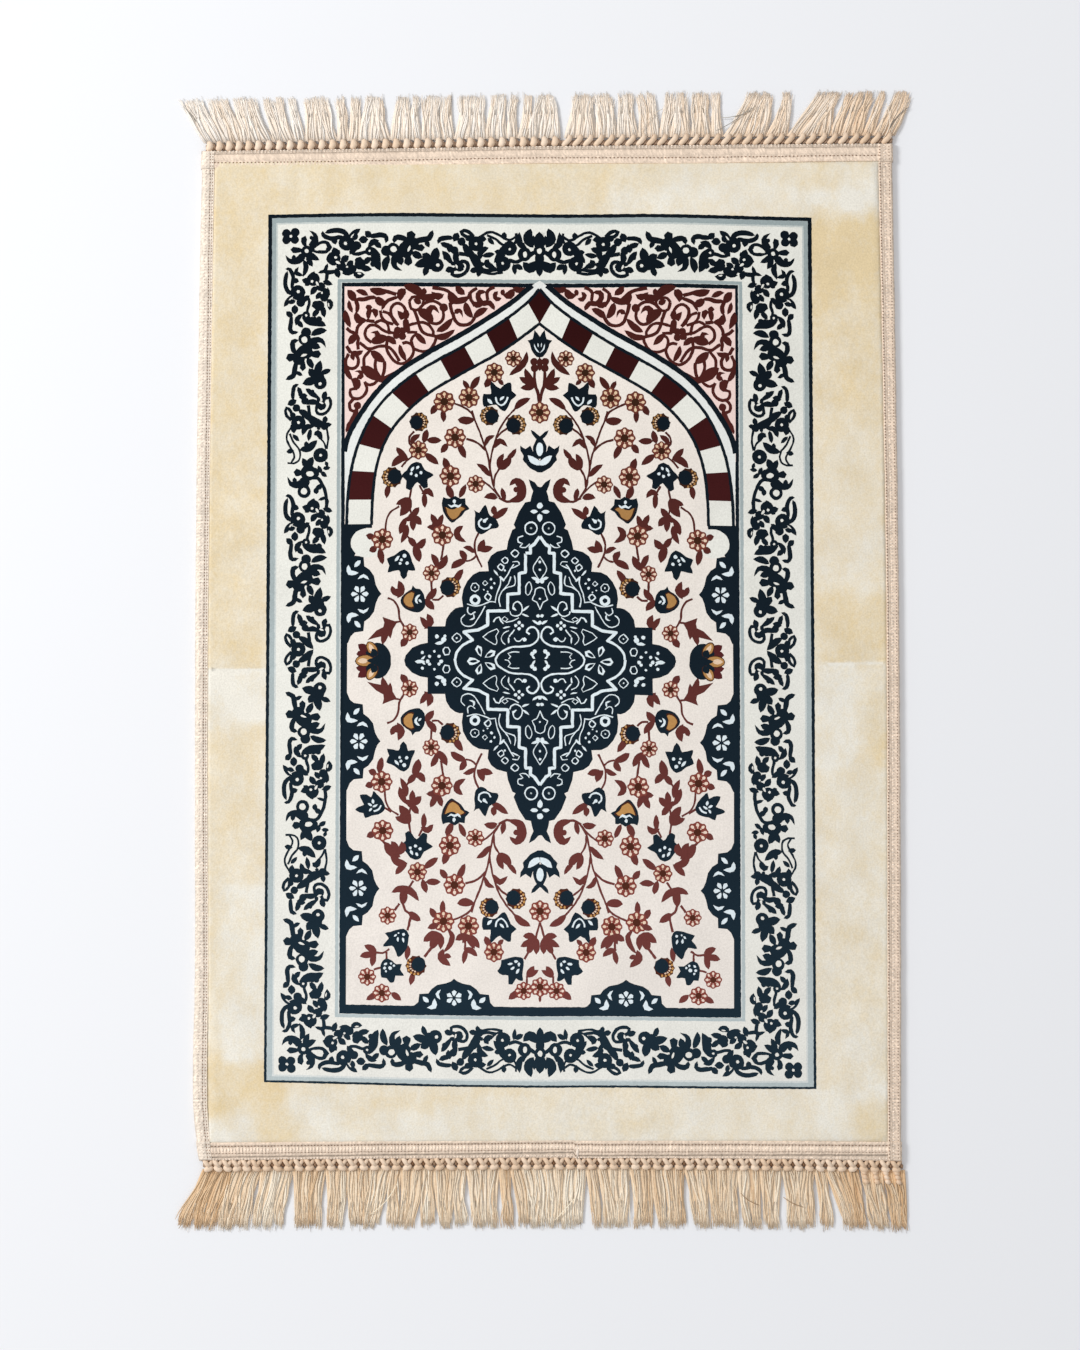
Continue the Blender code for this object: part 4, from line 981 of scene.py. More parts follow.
# Nap: painted sheen. Where the pile was brushed one way it catches the light
# golden, where it was brushed the other way pale, and this shading is painted
# into the margin's colour. Places are as they are seen.
NAP_SHEEN_PATCHES = (
    # left, top, right, bottom, golden above 0 and pale below
    (200, 150, 266, 669, 0.5), (238, 545, 264, 625, -0.6), (206, 669, 268, 722, -1.0),
    (200, 722, 266, 890, 0.1), (222, 885, 268, 1062, -0.8), (226, 958, 246, 1000, 0.6),
    (200, 1060, 292, 1112, 0.8), (208, 1110, 262, 1150, -0.9), (262, 1110, 292, 1150, 0.5),
    (290, 1085, 900, 1150, -0.55), (370, 1094, 470, 1106, 0.7), (620, 1112, 664, 1128, 0.6),
    (266, 150, 540, 214, 0.35), (540, 150, 620, 214, 0.3), (620, 183, 890, 214, -0.7),
    (840, 165, 890, 212, -0.6), (815, 208, 884, 300, 0.6), (815, 210, 890, 430, 0.4),
    (815, 540, 890, 592, -0.3), (815, 588, 890, 664, 0.6), (815, 664, 852, 762, -0.9),
    (862, 700, 884, 762, 0.5), (815, 760, 890, 1143, -0.35), (848, 1100, 890, 1150, 1.1),
)


SHARP_EDGE, SOFT_EDGE = 2.5, 12
NEAR_FOLD = 5
# Along the fold the margin is painted paler: painted light on the crease.
FOLD_PAINTED_LIGHT = 1.1
FOLD_PAINTED_LIGHT_WIDTH = 1.4


def nap_sheen_at(x, y):
    """How golden or pale the brushed margin is painted, on the rug, in millimetres: painted sheen of the nap,
    and painted light along the fold.
    """
    from_fold = abs(y - 1000 * (FOLD_MARK_Y + FOLD_MARK_SLOPE * x / 1000))
    broad = noise.noise_vector(Vector((x / 34, y / 34, 0.5))) * 14
    fine = noise.noise_vector(Vector((x / 13, y / 13, 4.5))) * 8
    wander = (broad + fine) * min(1.0, from_fold / 14)
    seen_x = x + PRINT_LEFT_BY + MIDDLE[0] + wander.x
    seen_y = MIDDLE[1] - y - PRINT_LOW_BY + wander.y
    total = 0.0
    for left, top, right, bottom, strength in NAP_SHEEN_PATCHES:
        inside = min(seen_x - left, right - seen_x, seen_y - top, bottom - seen_y)
        edge = SHARP_EDGE if from_fold < NEAR_FOLD else SOFT_EDGE
        total += strength * max(0.0, min(1.0, 0.5 + inside / edge))
    return total - FOLD_PAINTED_LIGHT * math.exp(-((from_fold / FOLD_PAINTED_LIGHT_WIDTH) ** 2))


# The mesh: every painted shape is laid into one triangulation of the cloth,
# with a grid of extra points so that the pile can swell and the margin shade.
EDGE_TUCK = 0.0024
half_width, half_length = BODY_HALF_WIDTH - EDGE_TUCK, BODY_HALF_LENGTH - EDGE_TUCK
RIM_STEPS = (0.0, 0.0098, 0.0112, 0.0125, 0.0142)
HEADING_STEPS = (0.0, 0.0148, 0.0162, 0.0175, 0.0192)


def rectangle_ring(half_w, half_h):
    """Points round a rectangle of the true body as it comes to lie, in millimetres, always as many."""
    corners = [(-half_w, -half_h), (half_w, -half_h), (half_w, half_h), (-half_w, half_h)]
    ring = []
    for (ax, ay), (bx, by), steps in zip(corners, corners[1:] + corners[:1], (116, 168, 116, 168)):
        for n in range(steps):
            t = n / steps
            spot = laid(ax + (bx - ax) * t, BODY_MIDDLE_Y + ay + (by - ay) * t, 0)
            ring.append(Vector((spot.x * 1000, spot.y * 1000)))
    return ring


cloth_faces = []
for side_step, end_step in zip(RIM_STEPS, HEADING_STEPS):
    cloth_faces.append((MARGIN, rectangle_ring(half_width - side_step, half_length - end_step)))
cloth_faces += [(colour, [on_rug(p) for p in corners]) for colour, corners in painted]

spots, outlines, dyes = [], [], []
known = {}
for colour, corners in cloth_faces:
    area = sum(a.x * b.y - b.x * a.y for a, b in zip(corners, corners[1:] + corners[:1]))
    if abs(area) < 0.02:
        continue
    if area < 0:
        corners = corners[::-1]
    outline = []
    for p in corners:
        key = (round(p.x * 1e4), round(p.y * 1e4))
        if key not in known:
            known[key] = len(spots)
            spots.append(p)
        if not outline or outline[-1] != known[key]:
            outline.append(known[key])
    if outline[0] == outline[-1]:
        outline.pop()
    if len(outline) > 2:
        outlines.append(outline)
        dyes.append(colour)
# The grid's points stand a little off their lines, so that no row of them shows.
GRID_STEP = 8.0
GRID_DRIFT = 1.4
for i in range(-42, 43):
    for j in range(-61, 63):
        x, y = i * GRID_STEP + GRID_DRIFT * math.sin(j), j * GRID_STEP + GRID_DRIFT * math.cos(i)
        if abs(x) < 340 and abs(y - 6) < 487:
            spots.append(Vector((x, y)))
for x in [s * n for n in range(280, 336, 5) for s in (-1, 1)]:
    fold = 1000 * FOLD_MARK_Y + FOLD_MARK_SLOPE * x
    spots += [Vector((x, fold + from_fold)) for from_fold in (-3.4, -1.6, 0, 1.6, 3.4)]
found, _, triangles, found_from, _, sources = geometry.delaunay_2d_cdt(spots, [], outlines, 1, 1e-4, True)


def rim_gap(x, y):
    """How far inside the tapes' edges a point is, in metres, less than 0 under them."""
    along = max(-1.0, min(1.0, (y - BODY_MIDDLE_Y) / BODY_HALF_LENGTH))
    edge = BODY_HALF_WIDTH + SIDE_BOW * math.cos(along * math.pi / 2) - SIDE_TAPER * max(along, 0) ** 2
    side = edge - BINDING_DEPTH - abs(x)
    end = BODY_HALF_LENGTH - HEADING_DEPTH - abs(y - BODY_MIDDLE_Y)
    return min(side, end)


TUCKED_TOP = 0.0042
points = []
for p in found:
    x, y = p.x / 1000, p.y / 1000
    rise = max(0.0, min(1.0, (rim_gap(x, y) + 0.0008) / 0.0028))
    rise = rise * rise * (3 - 2 * rise)
    points.append((x, y, TUCKED_TOP + (pile_top(x, y) - TUCKED_TOP) * rise))


def holds(outline, x, y):
    """Whether a place is inside one of the painted shapes."""
    inside = False
    for a, b in zip(outline, outline[1:] + outline[:1]):
        p, q = spots[a], spots[b]
        if (p.y > y) != (q.y > y) and x < p.x + (q.x - p.x) * (y - p.y) / (q.y - p.y):
            inside = not inside
    return inside


faces, face_dyes = [], []
for corners, from_faces in zip(triangles, sources):
    x = sum(found[c].x for c in corners) / 3
    y = sum(found[c].y for c in corners) / 3
    for shape in sorted(from_faces, reverse=True):
        if holds(outlines[shape], x, y):
            faces.append(corners)
            face_dyes.append(dyes[shape])
            break
top_faces = len(faces)

# The rim drops inside the tapes and turns under to the flat backing.
now_at = {n: place for place, before in enumerate(found_from) for n in before}
upper_ring = [now_at[n] for n in outlines[0]]
for height, side_inset, end_inset in (
    (0.0017, 0.0, 0.0), (0.0017, 0.0105, 0.0155), (0.0004, 0.0120, 0.0170), (0.0, 0.0140, 0.0190),
):
    w, h = half_width - side_inset, half_length - end_inset
    lower_ring = []
    for spot in rectangle_ring(w, h):
        lower_ring.append(len(points))
        points.append((spot.x / 1000, spot.y / 1000, height))
    for n in range(len(upper_ring)):
        m = (n + 1) % len(upper_ring)
        faces.append([upper_ring[n], lower_ring[n], lower_ring[m], upper_ring[m]])
    upper_ring = lower_ring
faces.append(upper_ring[::-1])

mesh = bpy.data.meshes.new("plush_cloth")
mesh.from_pydata(points, [], faces)
mesh.shade_smooth()
cloth = bpy.data.objects.new("plush_cloth", mesh)
bpy.context.collection.objects.link(cloth)
# The print is painted darker toward the right: painted shade of the light falling off from the lamp on the
# left.
PRINT_PAINTED_SHADE_TO_RIGHT = 0.20
FAR_END_Y = 0.380
FADE_LENGTH = 0.730
FADE_STEPS = 40
inks = {}


def ink(colour, y):
    """The dye's colour at this height of the rug, as linear light."""
    step = round(max(0.0, min(1.0, (FAR_END_Y - y) / FADE_LENGTH)) * FADE_STEPS)
    if (colour, step) not in inks:
        far, near, curve = colour
        mix = [a + (b - a) * (step / FADE_STEPS) ** curve for a, b in zip(far, near)]
        inks[colour, step] = [c / 12.92 if c <= 0.04045 else ((c + 0.055) / 1.055) ** 2.4 for c in mix]
    return inks[colour, step]


backing = ink(MARGIN, 0)
shades = []
for n, face in enumerate(faces):
    for corner in face:
        if n < top_faces:
            x, y, _ = points[corner]
            # Painted shade: the print's colour is lowered toward the right.
            painted_light_falloff = 1 - PRINT_PAINTED_SHADE_TO_RIGHT * max(0.0, x)
            shades += (*[painted_light_falloff * c for c in ink(face_dyes[n], y)], 1.0 if face_dyes[n] is MARGIN else 0.0)
        else:
            shades += (*backing, 0.0)
mesh.attributes.new("print", "FLOAT_COLOR", "CORNER").data.foreach_set("color", shades)
# The nap's painted sheen, kept on the points.
painted_nap_sheens = [nap_sheen_at(x * 1000, y * 1000) for x, y, z in points]
mesh.attributes.new("painted_nap_sheen", "FLOAT", "POINT").data.foreach_set("value", painted_nap_sheens)
# The top takes most of the map, and the rim and underside a strip along its foot.
MAP_WIDTH, MAP_LENGTH = 0.71, 1.02
UNDERSIDE_STRIP, TOP_FROM = 0.06, 0.08
uvs = []
for n, face in enumerate(faces):
    for corner in face:
        across = points[corner][0] / MAP_WIDTH + 0.5
        up = (points[corner][1] - BODY_MIDDLE_Y) / MAP_LENGTH + 0.5
        uvs += (across, TOP_FROM + (1 - TOP_FROM) * up if n < top_faces else UNDERSIDE_STRIP * up)
mesh.uv_layers.new(name="OFBake").data.foreach_set("uv", uvs)

plush = bpy.data.materials.new("printed_plush")
plush.use_nodes = True
nodes, links = plush.node_tree.nodes, plush.node_tree.links
shader = nodes["Principled BSDF"]
shader.inputs["Roughness"].default_value = 0.92
shader.inputs["Sheen Weight"].default_value = 0.04
shader.inputs["Sheen Roughness"].default_value = 0.45
shader.inputs["Specular IOR Level"].default_value = 0.04
place = nodes.new("ShaderNodeTexCoord")


def mottling(scale, stretch, detail, to_low, to_high):
    """A noise over the cloth, stretched along or across it, brought to a range."""
    turned = nodes.new("ShaderNodeMapping")
    turned.inputs["Scale"].default_value = stretch
    links.new(place.outputs["Object"], turned.inputs["Vector"])
    made = nodes.new("ShaderNodeTexNoise")
    made.inputs["Scale"].default_value = scale
    made.inputs["Detail"].default_value = detail
    links.new(turned.outputs["Vector"], made.inputs["Vector"])
    ranged = nodes.new("ShaderNodeMapRange")
    ranged.inputs["From Min"].default_value = 0.3
    ranged.inputs["From Max"].default_value = 0.7
    ranged.inputs["To Min"].default_value = to_low
    ranged.inputs["To Max"].default_value = to_high
    links.new(made.outputs["Fac"], ranged.inputs["Value"])
    return made, ranged.outputs["Result"]


def added(a, b):
    """The sum of two values, each from a node."""
    summed = nodes.new("ShaderNodeMath")
    links.new(a, summed.inputs[0])
    links.new(b, summed.inputs[1])
    return summed.outputs["Value"]


dye = nodes.new("ShaderNodeVertexColor")
dye.layer_name = "print"
painted_nap_sheen = nodes.new("ShaderNodeAttribute")
painted_nap_sheen.attribute_name = "painted_nap_sheen"
_, cloudy = mottling(24, (1, 1, 1), 3, -0.34, 0.34)
_, brushed = mottling(48, (1.6, 1.0, 1), 6, -0.34, 0.34)
_, flecks = mottling(300, (1, 0.7, 1), 2, -0.26, 0.26)
# The margin's colour runs from pale to golden: painted sheen of the brushed pile.
golden = nodes.new("ShaderNodeMapRange")
golden.inputs["From Min"].default_value = -1.1
golden.inputs["From Max"].default_value = 1.1
links.new(added(added(painted_nap_sheen.outputs["Fac"], cloudy), added(brushed, flecks)), golden.inputs["Value"])
margin_tone = nodes.new("ShaderNodeMix")
margin_tone.data_type = "RGBA"
margin_tone.inputs["A"].default_value = (0.815, 0.780, 0.690, 1)
margin_tone.inputs["B"].default_value = (0.748, 0.604, 0.370, 1)
links.new(golden.outputs["Result"], margin_tone.inputs["Factor"])
whole = nodes.new("ShaderNodeMix")
whole.data_type = "RGBA"
links.new(dye.outputs["Alpha"], whole.inputs["Factor"])
links.new(dye.outputs["Color"], whole.inputs["A"])
links.new(margin_tone.outputs["Result"], whole.inputs["B"])
grain, grainy = mottling(620, (1, 1, 1), 2, 0.92, 1.07)
_, patchy = mottling(34, (1, 0.7, 1), 5, 0.955, 1.035)
level = nodes.new("ShaderNodeMath")
level.operation = "MULTIPLY"
links.new(grainy, level.inputs[0])
links.new(patchy, level.inputs[1])
levelled = nodes.new("ShaderNodeVectorMath")
levelled.operation = "SCALE"
links.new(whole.outputs["Result"], levelled.inputs[0])
links.new(level.outputs["Value"], levelled.inputs["Scale"])
links.new(levelled.outputs["Vector"], shader.inputs["Base Color"])
fibres = nodes.new("ShaderNodeBump")
fibres.inputs["Strength"].default_value = 0.5
fibres.inputs["Distance"].default_value = 0.0005
links.new(grain.outputs["Fac"], fibres.inputs["Height"])
links.new(fibres.outputs["Normal"], shader.inputs["Normal"])

cloth.data.materials.append(plush)
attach(cloth, "root")
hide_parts("pile_cloth")

# ---------------------------------------------------------------- edge tapes
# Four strips of knitted tape, folded over the edges of the cloth: a wide one
# along each end, which carries the fringe, and a narrow one along each side.
# Rows of darker stitches sew them through, and the side tapes lap the corners.

TAPE_TONE = (0.925, 0.840, 0.755)
# The left tape is painted lighter than the others: painted light from the lamp on the left.
LEFT_TAPE_PAINTED_LIGHT_TONE = (0.972, 0.912, 0.842)
STITCH_TONE = (0.590, 0.460, 0.375)
BEAD_TONE = (0.975, 0.915, 0.850)
# Each row: depth in from the outer edge and height in mm, rib height, tone, and
# how far the row sways with the uneven sewing. The tones paint light and shade
# across the tape: lower in the grooves, at the rolled outer edge, under the beads
# and on the turned-under side, higher on the ridges.
END_TAPE_FAR = (
    (17.6, 0.0, 0, 0.9, 0), (9, 0.0, 0, 0.9, 0), (1.2, 0.0, 0, 0.9, 0), (0.2, 0.9, 0, 0.86, 0),
    (0.0, 2.6, 0, 0.88, 0), (0.3, 4.4, 0.1, 0.86, 0), (1.0, 5.5, 0.2, 0.85, 0), (2.1, 6.0, 0.3, 0.87, 0),
    (3.3, 5.9, 0.2, 0.94, 0), (4.1, 5.2, 0, 0.80, 0.3), (5.0, 5.8, 0.04, 0.99, 0.3),
    (7.2, 6.1, 0.05, 1.03, 0.5), (9.6, 5.9, 0.05, 1.01, 0.6), (10.8, 5.6, 0.05, 0.96, 0.7),
    (11.8, 5.8, 0.1, 1.0, 0.8), (12.8, 5.5, 0.05, 0.94, 0.8), (13.8, 5.8, 0.1, 1.0, 0.8),
    (15.8, 6.0, 0.12, 1.03, 0.9), (17.5, 5.8, 0.06, 1.04, 1), (18.4, 5.4, 0, 1.05, 1),
    (18.6, 4.6, 0, 0.95, 1), (9, 4.6, 0, 0.8, 0), (1.5, 4.4, 0, 0.8, 0), (1.5, 1.4, 0, 0.8, 0),
    (17.4, 1.2, 0, 0.8, 0),
)
END_TAPE_NEAR = (
    (17.6, 0.0, 0, 0.9, 0), (9, 0.0, 0, 0.9, 0), (1.2, 0.0, 0, 0.9, 0), (0.2, 0.9, 0, 0.86, 0),
    (0.0, 2.6, 0.1, 0.88, 0), (0.3, 4.2, 0.2, 0.9, 0), (1.2, 5.5, 0.3, 0.95, 0.2),
    (2.6, 5.9, 0.3, 0.98, 0.6), (3.8, 5.5, 0.1, 0.88, 0.9), (4.6, 4.8, 0, 0.60, 1),
    (5.4, 5.6, 0.15, 0.94, 1), (6.8, 6.0, 0.25, 1.0, 0.9), (7.9, 5.6, 0.05, 0.84, 0.7),
    (9.0, 6.0, 0.3, 1.03, 0.6), (11.0, 6.3, 0.4, 1.07, 0.5), (13.0, 6.0, 0.3, 1.04, 0.5),
    (14.0, 5.6, 0.05, 0.88, 0.5), (15.2, 5.5, 0.02, 0.84, 0.5), (16.0, 5.8, 0.1, 0.98, 0.5),
    (17.6, 5.7, 0.1, 1.02, 0.5), (18.4, 5.3, 0, 1.0, 0.5), (18.5, 4.6, 0, 0.9, 0.5), (9, 4.6, 0, 0.8, 0),
    (1.5, 4.4, 0, 0.8, 0), (1.5, 1.4, 0, 0.8, 0), (17.4, 1.2, 0, 0.8, 0),
)
SIDE_TAPE_TOP = (
    (0.3, 4.6, 0.1, 0.86, 0), (1.3, 5.8, 0.15, 0.94, 0), (2.6, 6.1, 0.15, 1.01, 0.2),
    (4.4, 6.0, 0.12, 1.0, 0.4), (6.4, 5.9, 0.12, 0.99, 0.6), (8.2, 5.8, 0.1, 0.97, 0.8),
    (9.1, 5.3, 0, 0.84, 1), (10.1, 5.7, 0.1, 0.97, 1), (11.1, 5.4, 0, 0.86, 1),
    (12.0, 5.8, 0.08, 1.03, 1), (13.0, 5.5, 0, 1.04, 1),
)
SIDE_TAPE = (
    (12.4, 0.0, 0, 0.9, 0), (6, 0.0, 0, 0.9, 0), (1.2, 0.0, 0, 0.9, 0), (0.2, 0.9, 0, 0.92, 0),
    (0.0, 2.8, 0.1, 1.0, 0), *SIDE_TAPE_TOP, (13.4, 5.0, 0, 0.86, 1), (13.3, 4.6, 0, 0.8, 1),
    (6, 4.6, 0, 0.8, 0), (1.5, 4.4, 0, 0.8, 0), (1.5, 1.4, 0, 0.8, 0), (12.3, 1.2, 0, 0.8, 0),
)
# Where a side tape runs on over the end of a wide one, it lies on top and wraps the corner.
CORNER_LAP = (
    (-0.5, 1.0, 0, 0.9, 0), (-0.8, 3.2, 0.1, 0.96, 0),
    *[(depth - 0.4, height + 0.9, rib, tone, sway) for depth, height, rib, tone, sway in SIDE_TAPE_TOP],
    (13.2, 5.2, 0, 0.8, 1), (1.0, 4.8, 0, 0.8, 0), (0.8, 1.0, 0, 0.8, 0),
)


END_OVERHANG = 0.0004
SIDE_GAP = 0.0002
EDGE_WANDER = 0.25
SIDE_WANDER = 0.3
TOP_LIFT = 0.12
TURNED_HEIGHT = 2


def end_place(end, sway_at):
    """Places along one end tape: share of its length, depth in, height and sway, all as it lies."""

    def place(share, depth, height, sway):
        x = (2 * share - 1) * (BODY_HALF_WIDTH + END_OVERHANG)
        depth += sway * sway_at(share) + EDGE_WANDER * noise.noise((share * 60, end * 9.0, 1.5))
        spot = laid(x, BODY_MIDDLE_Y + end * (BODY_HALF_LENGTH - depth / 1000), 0)
        lift = TOP_LIFT * noise.noise((share * 240, depth / 3, end * 5.0))
        return (spot.x, spot.y, max(0.0, height + (lift if height > TURNED_HEIGHT else 0)) / 1000)

    return place


def side_place(side, sway_at):
    """Places along one side tape, from the near end to the far end."""
    low = -BODY_HALF_LENGTH + HEADING_DEPTH + SIDE_GAP
    high = BODY_HALF_LENGTH - HEADING_DEPTH - SIDE_GAP

    def place(share, depth, height, sway):
        swayed = sway * sway_at(max(0.0, min(1.0, share)))
        depth += swayed + SIDE_WANDER * noise.noise((share * 90, side * 7.0, 8.5))
        y = BODY_MIDDLE_Y + low + (high - low) * share
        spot = laid(side * (BODY_HALF_WIDTH - depth / 1000), y, 0)
        lift = TOP_LIFT * noise.noise((share * 340, depth / 3, side * 3.0))
        return (spot.x, spot.y, max(0.0, height + (lift if height > TURNED_HEIGHT else 0)) / 1000)

    return place


def swept(points, tones, faces, place, section, start, stop, columns, dyed):
    """A closed strip along its edge from one share of its length to another, ribbed across."""
    first = len(points)
    for i in range(columns + 1):
        rib = 1 if i % 2 else -1
        worn = 1 + 0.05 * noise.noise((i * 0.31, start * 40 + columns, 2.5))
        for depth, height, rib_height, tone, sway in section:
            points.append(place(start + (stop - start) * i / columns, depth, height + rib * rib_height, sway))
            knit = 0.2 * noise.noise((i * 0.9, depth * 0.55, start * 40 + columns))
            # Painted shade: the ribs' tops lighter and their valleys darker.
            tones.append([c * worn * (tone + 0.2 * rib * rib_height + knit) for c in dyed])
    count = len(section)
    for i in range(columns):
        for j in range(count):
            a, b = first + i * count + j, first + i * count + (j + 1) % count
            faces.append([a, b, b + count, a + count])
    faces.append([first + j for j in range(count)][::-1])
    faces.append([first + columns * count + j for j in range(count)])


STITCH_FACES = ((0, 2, 5), (2, 1, 5), (1, 3, 5), (3, 0, 5), (2, 0, 4), (1, 2, 4), (3, 1, 4), (0, 3, 4))


def sewn_row(points, tones, faces, place, length, start, stop, row, lift=0.0):
    """A row of like stitches standing on a tape, each a lozenge with a point above and one below."""
    depth, height, pitch, long, wide, tall, sway, tone = row
    stitches = max(1, int((stop - start) * length / pitch))
    for n in range(stitches):
        middle = start + (stop - start) * (n + 0.5) / stitches + 0.0004 * math.sin(n * 7.3)
        worn = 1 + 0.07 * math.sin(n * 3.7) + 0.06 * math.sin(n * 0.9)
        first = len(points)
        ends = ((-long, 0, 0), (long, 0, 0), (0, -wide, 0), (0, wide, 0), (0, 0, -tall), (0, 0, tall))
        for along, across, up in ends:
            points.append(place(middle + along / length, depth + across, height + lift + up, sway))
            tones.append([c * worn for c in tone])
        for corners in STITCH_FACES:
            faces.append([first + n for n in corners])


def yarn_piece(name, points, tones, faces):
    """The finished piece, its tones kept on the mesh as linear light."""
    mesh = bpy.data.meshes.new(name)
    mesh.from_pydata(points, [], faces)
    made = bmesh.new()
    made.from_mesh(mesh)
    bmesh.ops.recalc_face_normals(made, faces=made.faces)
    made.to_mesh(mesh)
    made.free()
    mesh.shade_smooth()
    linear = [v for tone in tones for v in (*[max(0.0, c) ** 2.2 for c in tone], 1.0)]
    mesh.attributes.new("yarn", "FLOAT_COLOR", "POINT").data.foreach_set("color", linear)
    piece = bpy.data.objects.new(name, mesh)
    bpy.context.collection.objects.link(piece)
    return piece


RIB_LENGTH = 1.65
LAP_COLUMNS = 11
LAP_HEIGHT = 0.9
JOIN_RIDGE = (7.6, 5.9, 2.8, 1.9, 8.2, 0.9, 0.5, BEAD_TONE)


def folded_tape(name, place, length, section, rows, dyed, laps=0.0, join=None):
    """A folded strip with its rows of stitches, its laps over the corners and the ridge of its join."""
    points, tones, faces = [], [], []
    swept(points, tones, faces, place, section, 0, 1, round(length / RIB_LENGTH), dyed)
    for row in rows:
        sewn_row(points, tones, faces, place, length, 0.001, 0.999, row)
    if join:
        sewn_row(points, tones, faces, place, length, join - 0.002, join + 0.002, JOIN_RIDGE)
    if laps:
        for start, stop in ((-laps, 0.001), (0.999, 1 + laps)):
            swept(points, tones, faces, place, CORNER_LAP, start, stop, LAP_COLUMNS, dyed)
            for row in rows:
                sewn_row(points, tones, faces, place, length, start + 0.001, stop - 0.001, row, LAP_HEIGHT)
    return yarn_piece(name, points, tones, faces)


def yarn_material(name, roughness, grain, depth, darkest):
    """Yarn in the tone its mesh carries, a little mottled, with a fine twist of bump."""
    made = bpy.data.materials.new(name)
    made.use_nodes = True
    nodes, links = made.node_tree.nodes, made.node_tree.links
    shader = nodes["Principled BSDF"]
    shader.inputs["Roughness"].default_value = roughness
    shader.inputs["Sheen Weight"].default_value = 0.1
    shader.inputs["Specular IOR Level"].default_value = 0.2
    tone = nodes.new("ShaderNodeVertexColor")
    tone.layer_name = "yarn"
    where = nodes.new("ShaderNodeTexCoord")
    mottle = nodes.new("ShaderNodeTexNoise")
    mottle.inputs["Scale"].default_value = grain
    links.new(where.outputs["Object"], mottle.inputs["Vector"])
    level = nodes.new("ShaderNodeMapRange")
    level.inputs["From Min"].default_value = 0.3
    level.inputs["From Max"].default_value = 0.7
    level.inputs["To Min"].default_value = darkest
    level.inputs["To Max"].default_value = 1.08
    links.new(mottle.outputs["Fac"], level.inputs["Value"])
    mixed = nodes.new("ShaderNodeVectorMath")
    mixed.operation = "SCALE"
    links.new(tone.outputs["Color"], mixed.inputs[0])
    links.new(level.outputs["Result"], mixed.inputs["Scale"])
    links.new(mixed.outputs["Vector"], shader.inputs["Base Color"])
    bump = nodes.new("ShaderNodeBump")
    bump.inputs["Strength"].default_value = 0.6
    bump.inputs["Distance"].default_value = depth
    links.new(mottle.outputs["Fac"], bump.inputs["Height"])
    links.new(bump.outputs["Normal"], shader.inputs["Normal"])
    return made


END_TAPE_LENGTH = 700
SIDE_TAPE_LENGTH = 976
SIDE_LAP = 0.0172
JOIN_AT = 0.541
SWAY_STEP_AT = 0.537


def near_sway(share):
    """The near tape's groove: it sinks toward the join in the tape and steps back just past it."""
    if share < SWAY_STEP_AT:
        return -1.0 + 2.6 * (share / SWAY_STEP_AT) ** 1.6
    return -1.8 + 3.8 * ((share - SWAY_STEP_AT) / (1 - SWAY_STEP_AT)) ** 1.3


# Each row of stitches: depth in, height, spacing, half length, half width and
# half height in mm, its share of the sway, and its tone.
FAR_STITCHES = (
    (1.3, 5.9, 3.7, 1.3, 0.95, 0.75, 0, BEAD_TONE), (3.0, 6.1, 3.7, 0.9, 0.6, 0.45, 0, BEAD_TONE),
    (12.8, 5.9, 3.7, 0.95, 0.75, 0.45, 0.8, STITCH_TONE),
)
NEAR_STITCHES = (
    (14.7, 5.8, 3.3, 0.95, 0.65, 0.35, 0.5, STITCH_TONE), (7.9, 5.8, 3.3, 0.9, 0.45, 0.3, 0.7, STITCH_TONE),
    (11.3, 6.2, 3.3, 0.75, 2.1, 0.5, 0.5, BEAD_TONE), (2.2, 5.9, 3.3, 0.8, 1.1, 0.45, 0.6, BEAD_TONE),
)
LEFT_STITCHES = (
    (9.0, 5.7, 3.1, 0.85, 0.7, 0.45, 1, STITCH_TONE), (11.6, 5.8, 3.1, 0.8, 0.6, 0.4, 1, STITCH_TONE),
    (4.6, 6.0, 3.1, 0.75, 1.7, 0.4, 0.5, BEAD_TONE),
)
RIGHT_STITCHES = (
    (12.0, 5.9, 3.1, 0.85, 0.75, 0.45, 1, STITCH_TONE), (3.2, 6.2, 3.1, 0.8, 0.6, 0.35, 0.5, STITCH_TONE),
    (7.6, 6.1, 3.1, 0.75, 1.7, 0.4, 0.8, BEAD_TONE),
)

knit = yarn_material("knitted_tape", 0.86, 1300, 0.0004, 0.80)
far_place = end_place(1, lambda share: 0.5 * math.sin(share * 11))
near_place = end_place(-1, near_sway)
left_place = side_place(-1, lambda share: 0.5 * math.sin(share * 9 + 1))
right_place = side_place(1, lambda share: 0.5 * math.sin(share * 8))
heading_top = folded_tape(
    "heading_tape_top", far_place, END_TAPE_LENGTH, END_TAPE_FAR, FAR_STITCHES, TAPE_TONE,
)
heading_bottom = folded_tape(
    "heading_tape_bottom", near_place, END_TAPE_LENGTH, END_TAPE_NEAR, NEAR_STITCHES, TAPE_TONE, join=JOIN_AT,
)
binding_left = folded_tape(
    "binding_tape_left", left_place, SIDE_TAPE_LENGTH, SIDE_TAPE, LEFT_STITCHES, LEFT_TAPE_PAINTED_LIGHT_TONE, SIDE_LAP,
)
binding_right = folded_tape(
    "binding_tape_right", right_place, SIDE_TAPE_LENGTH, SIDE_TAPE, RIGHT_STITCHES, TAPE_TONE, SIDE_LAP,
)
for tape, node, flat_size in (
    (heading_top, "heading_top", (0.700, 0.042)), (heading_bottom, "heading_bottom", (0.700, 0.042)),
    (binding_left, "binding_left", (1.010, 0.032)), (binding_right, "binding_right", (1.010, 0.032)),
):
    tape.data.materials.append(knit)
    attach(tape, "root")
    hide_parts(node)

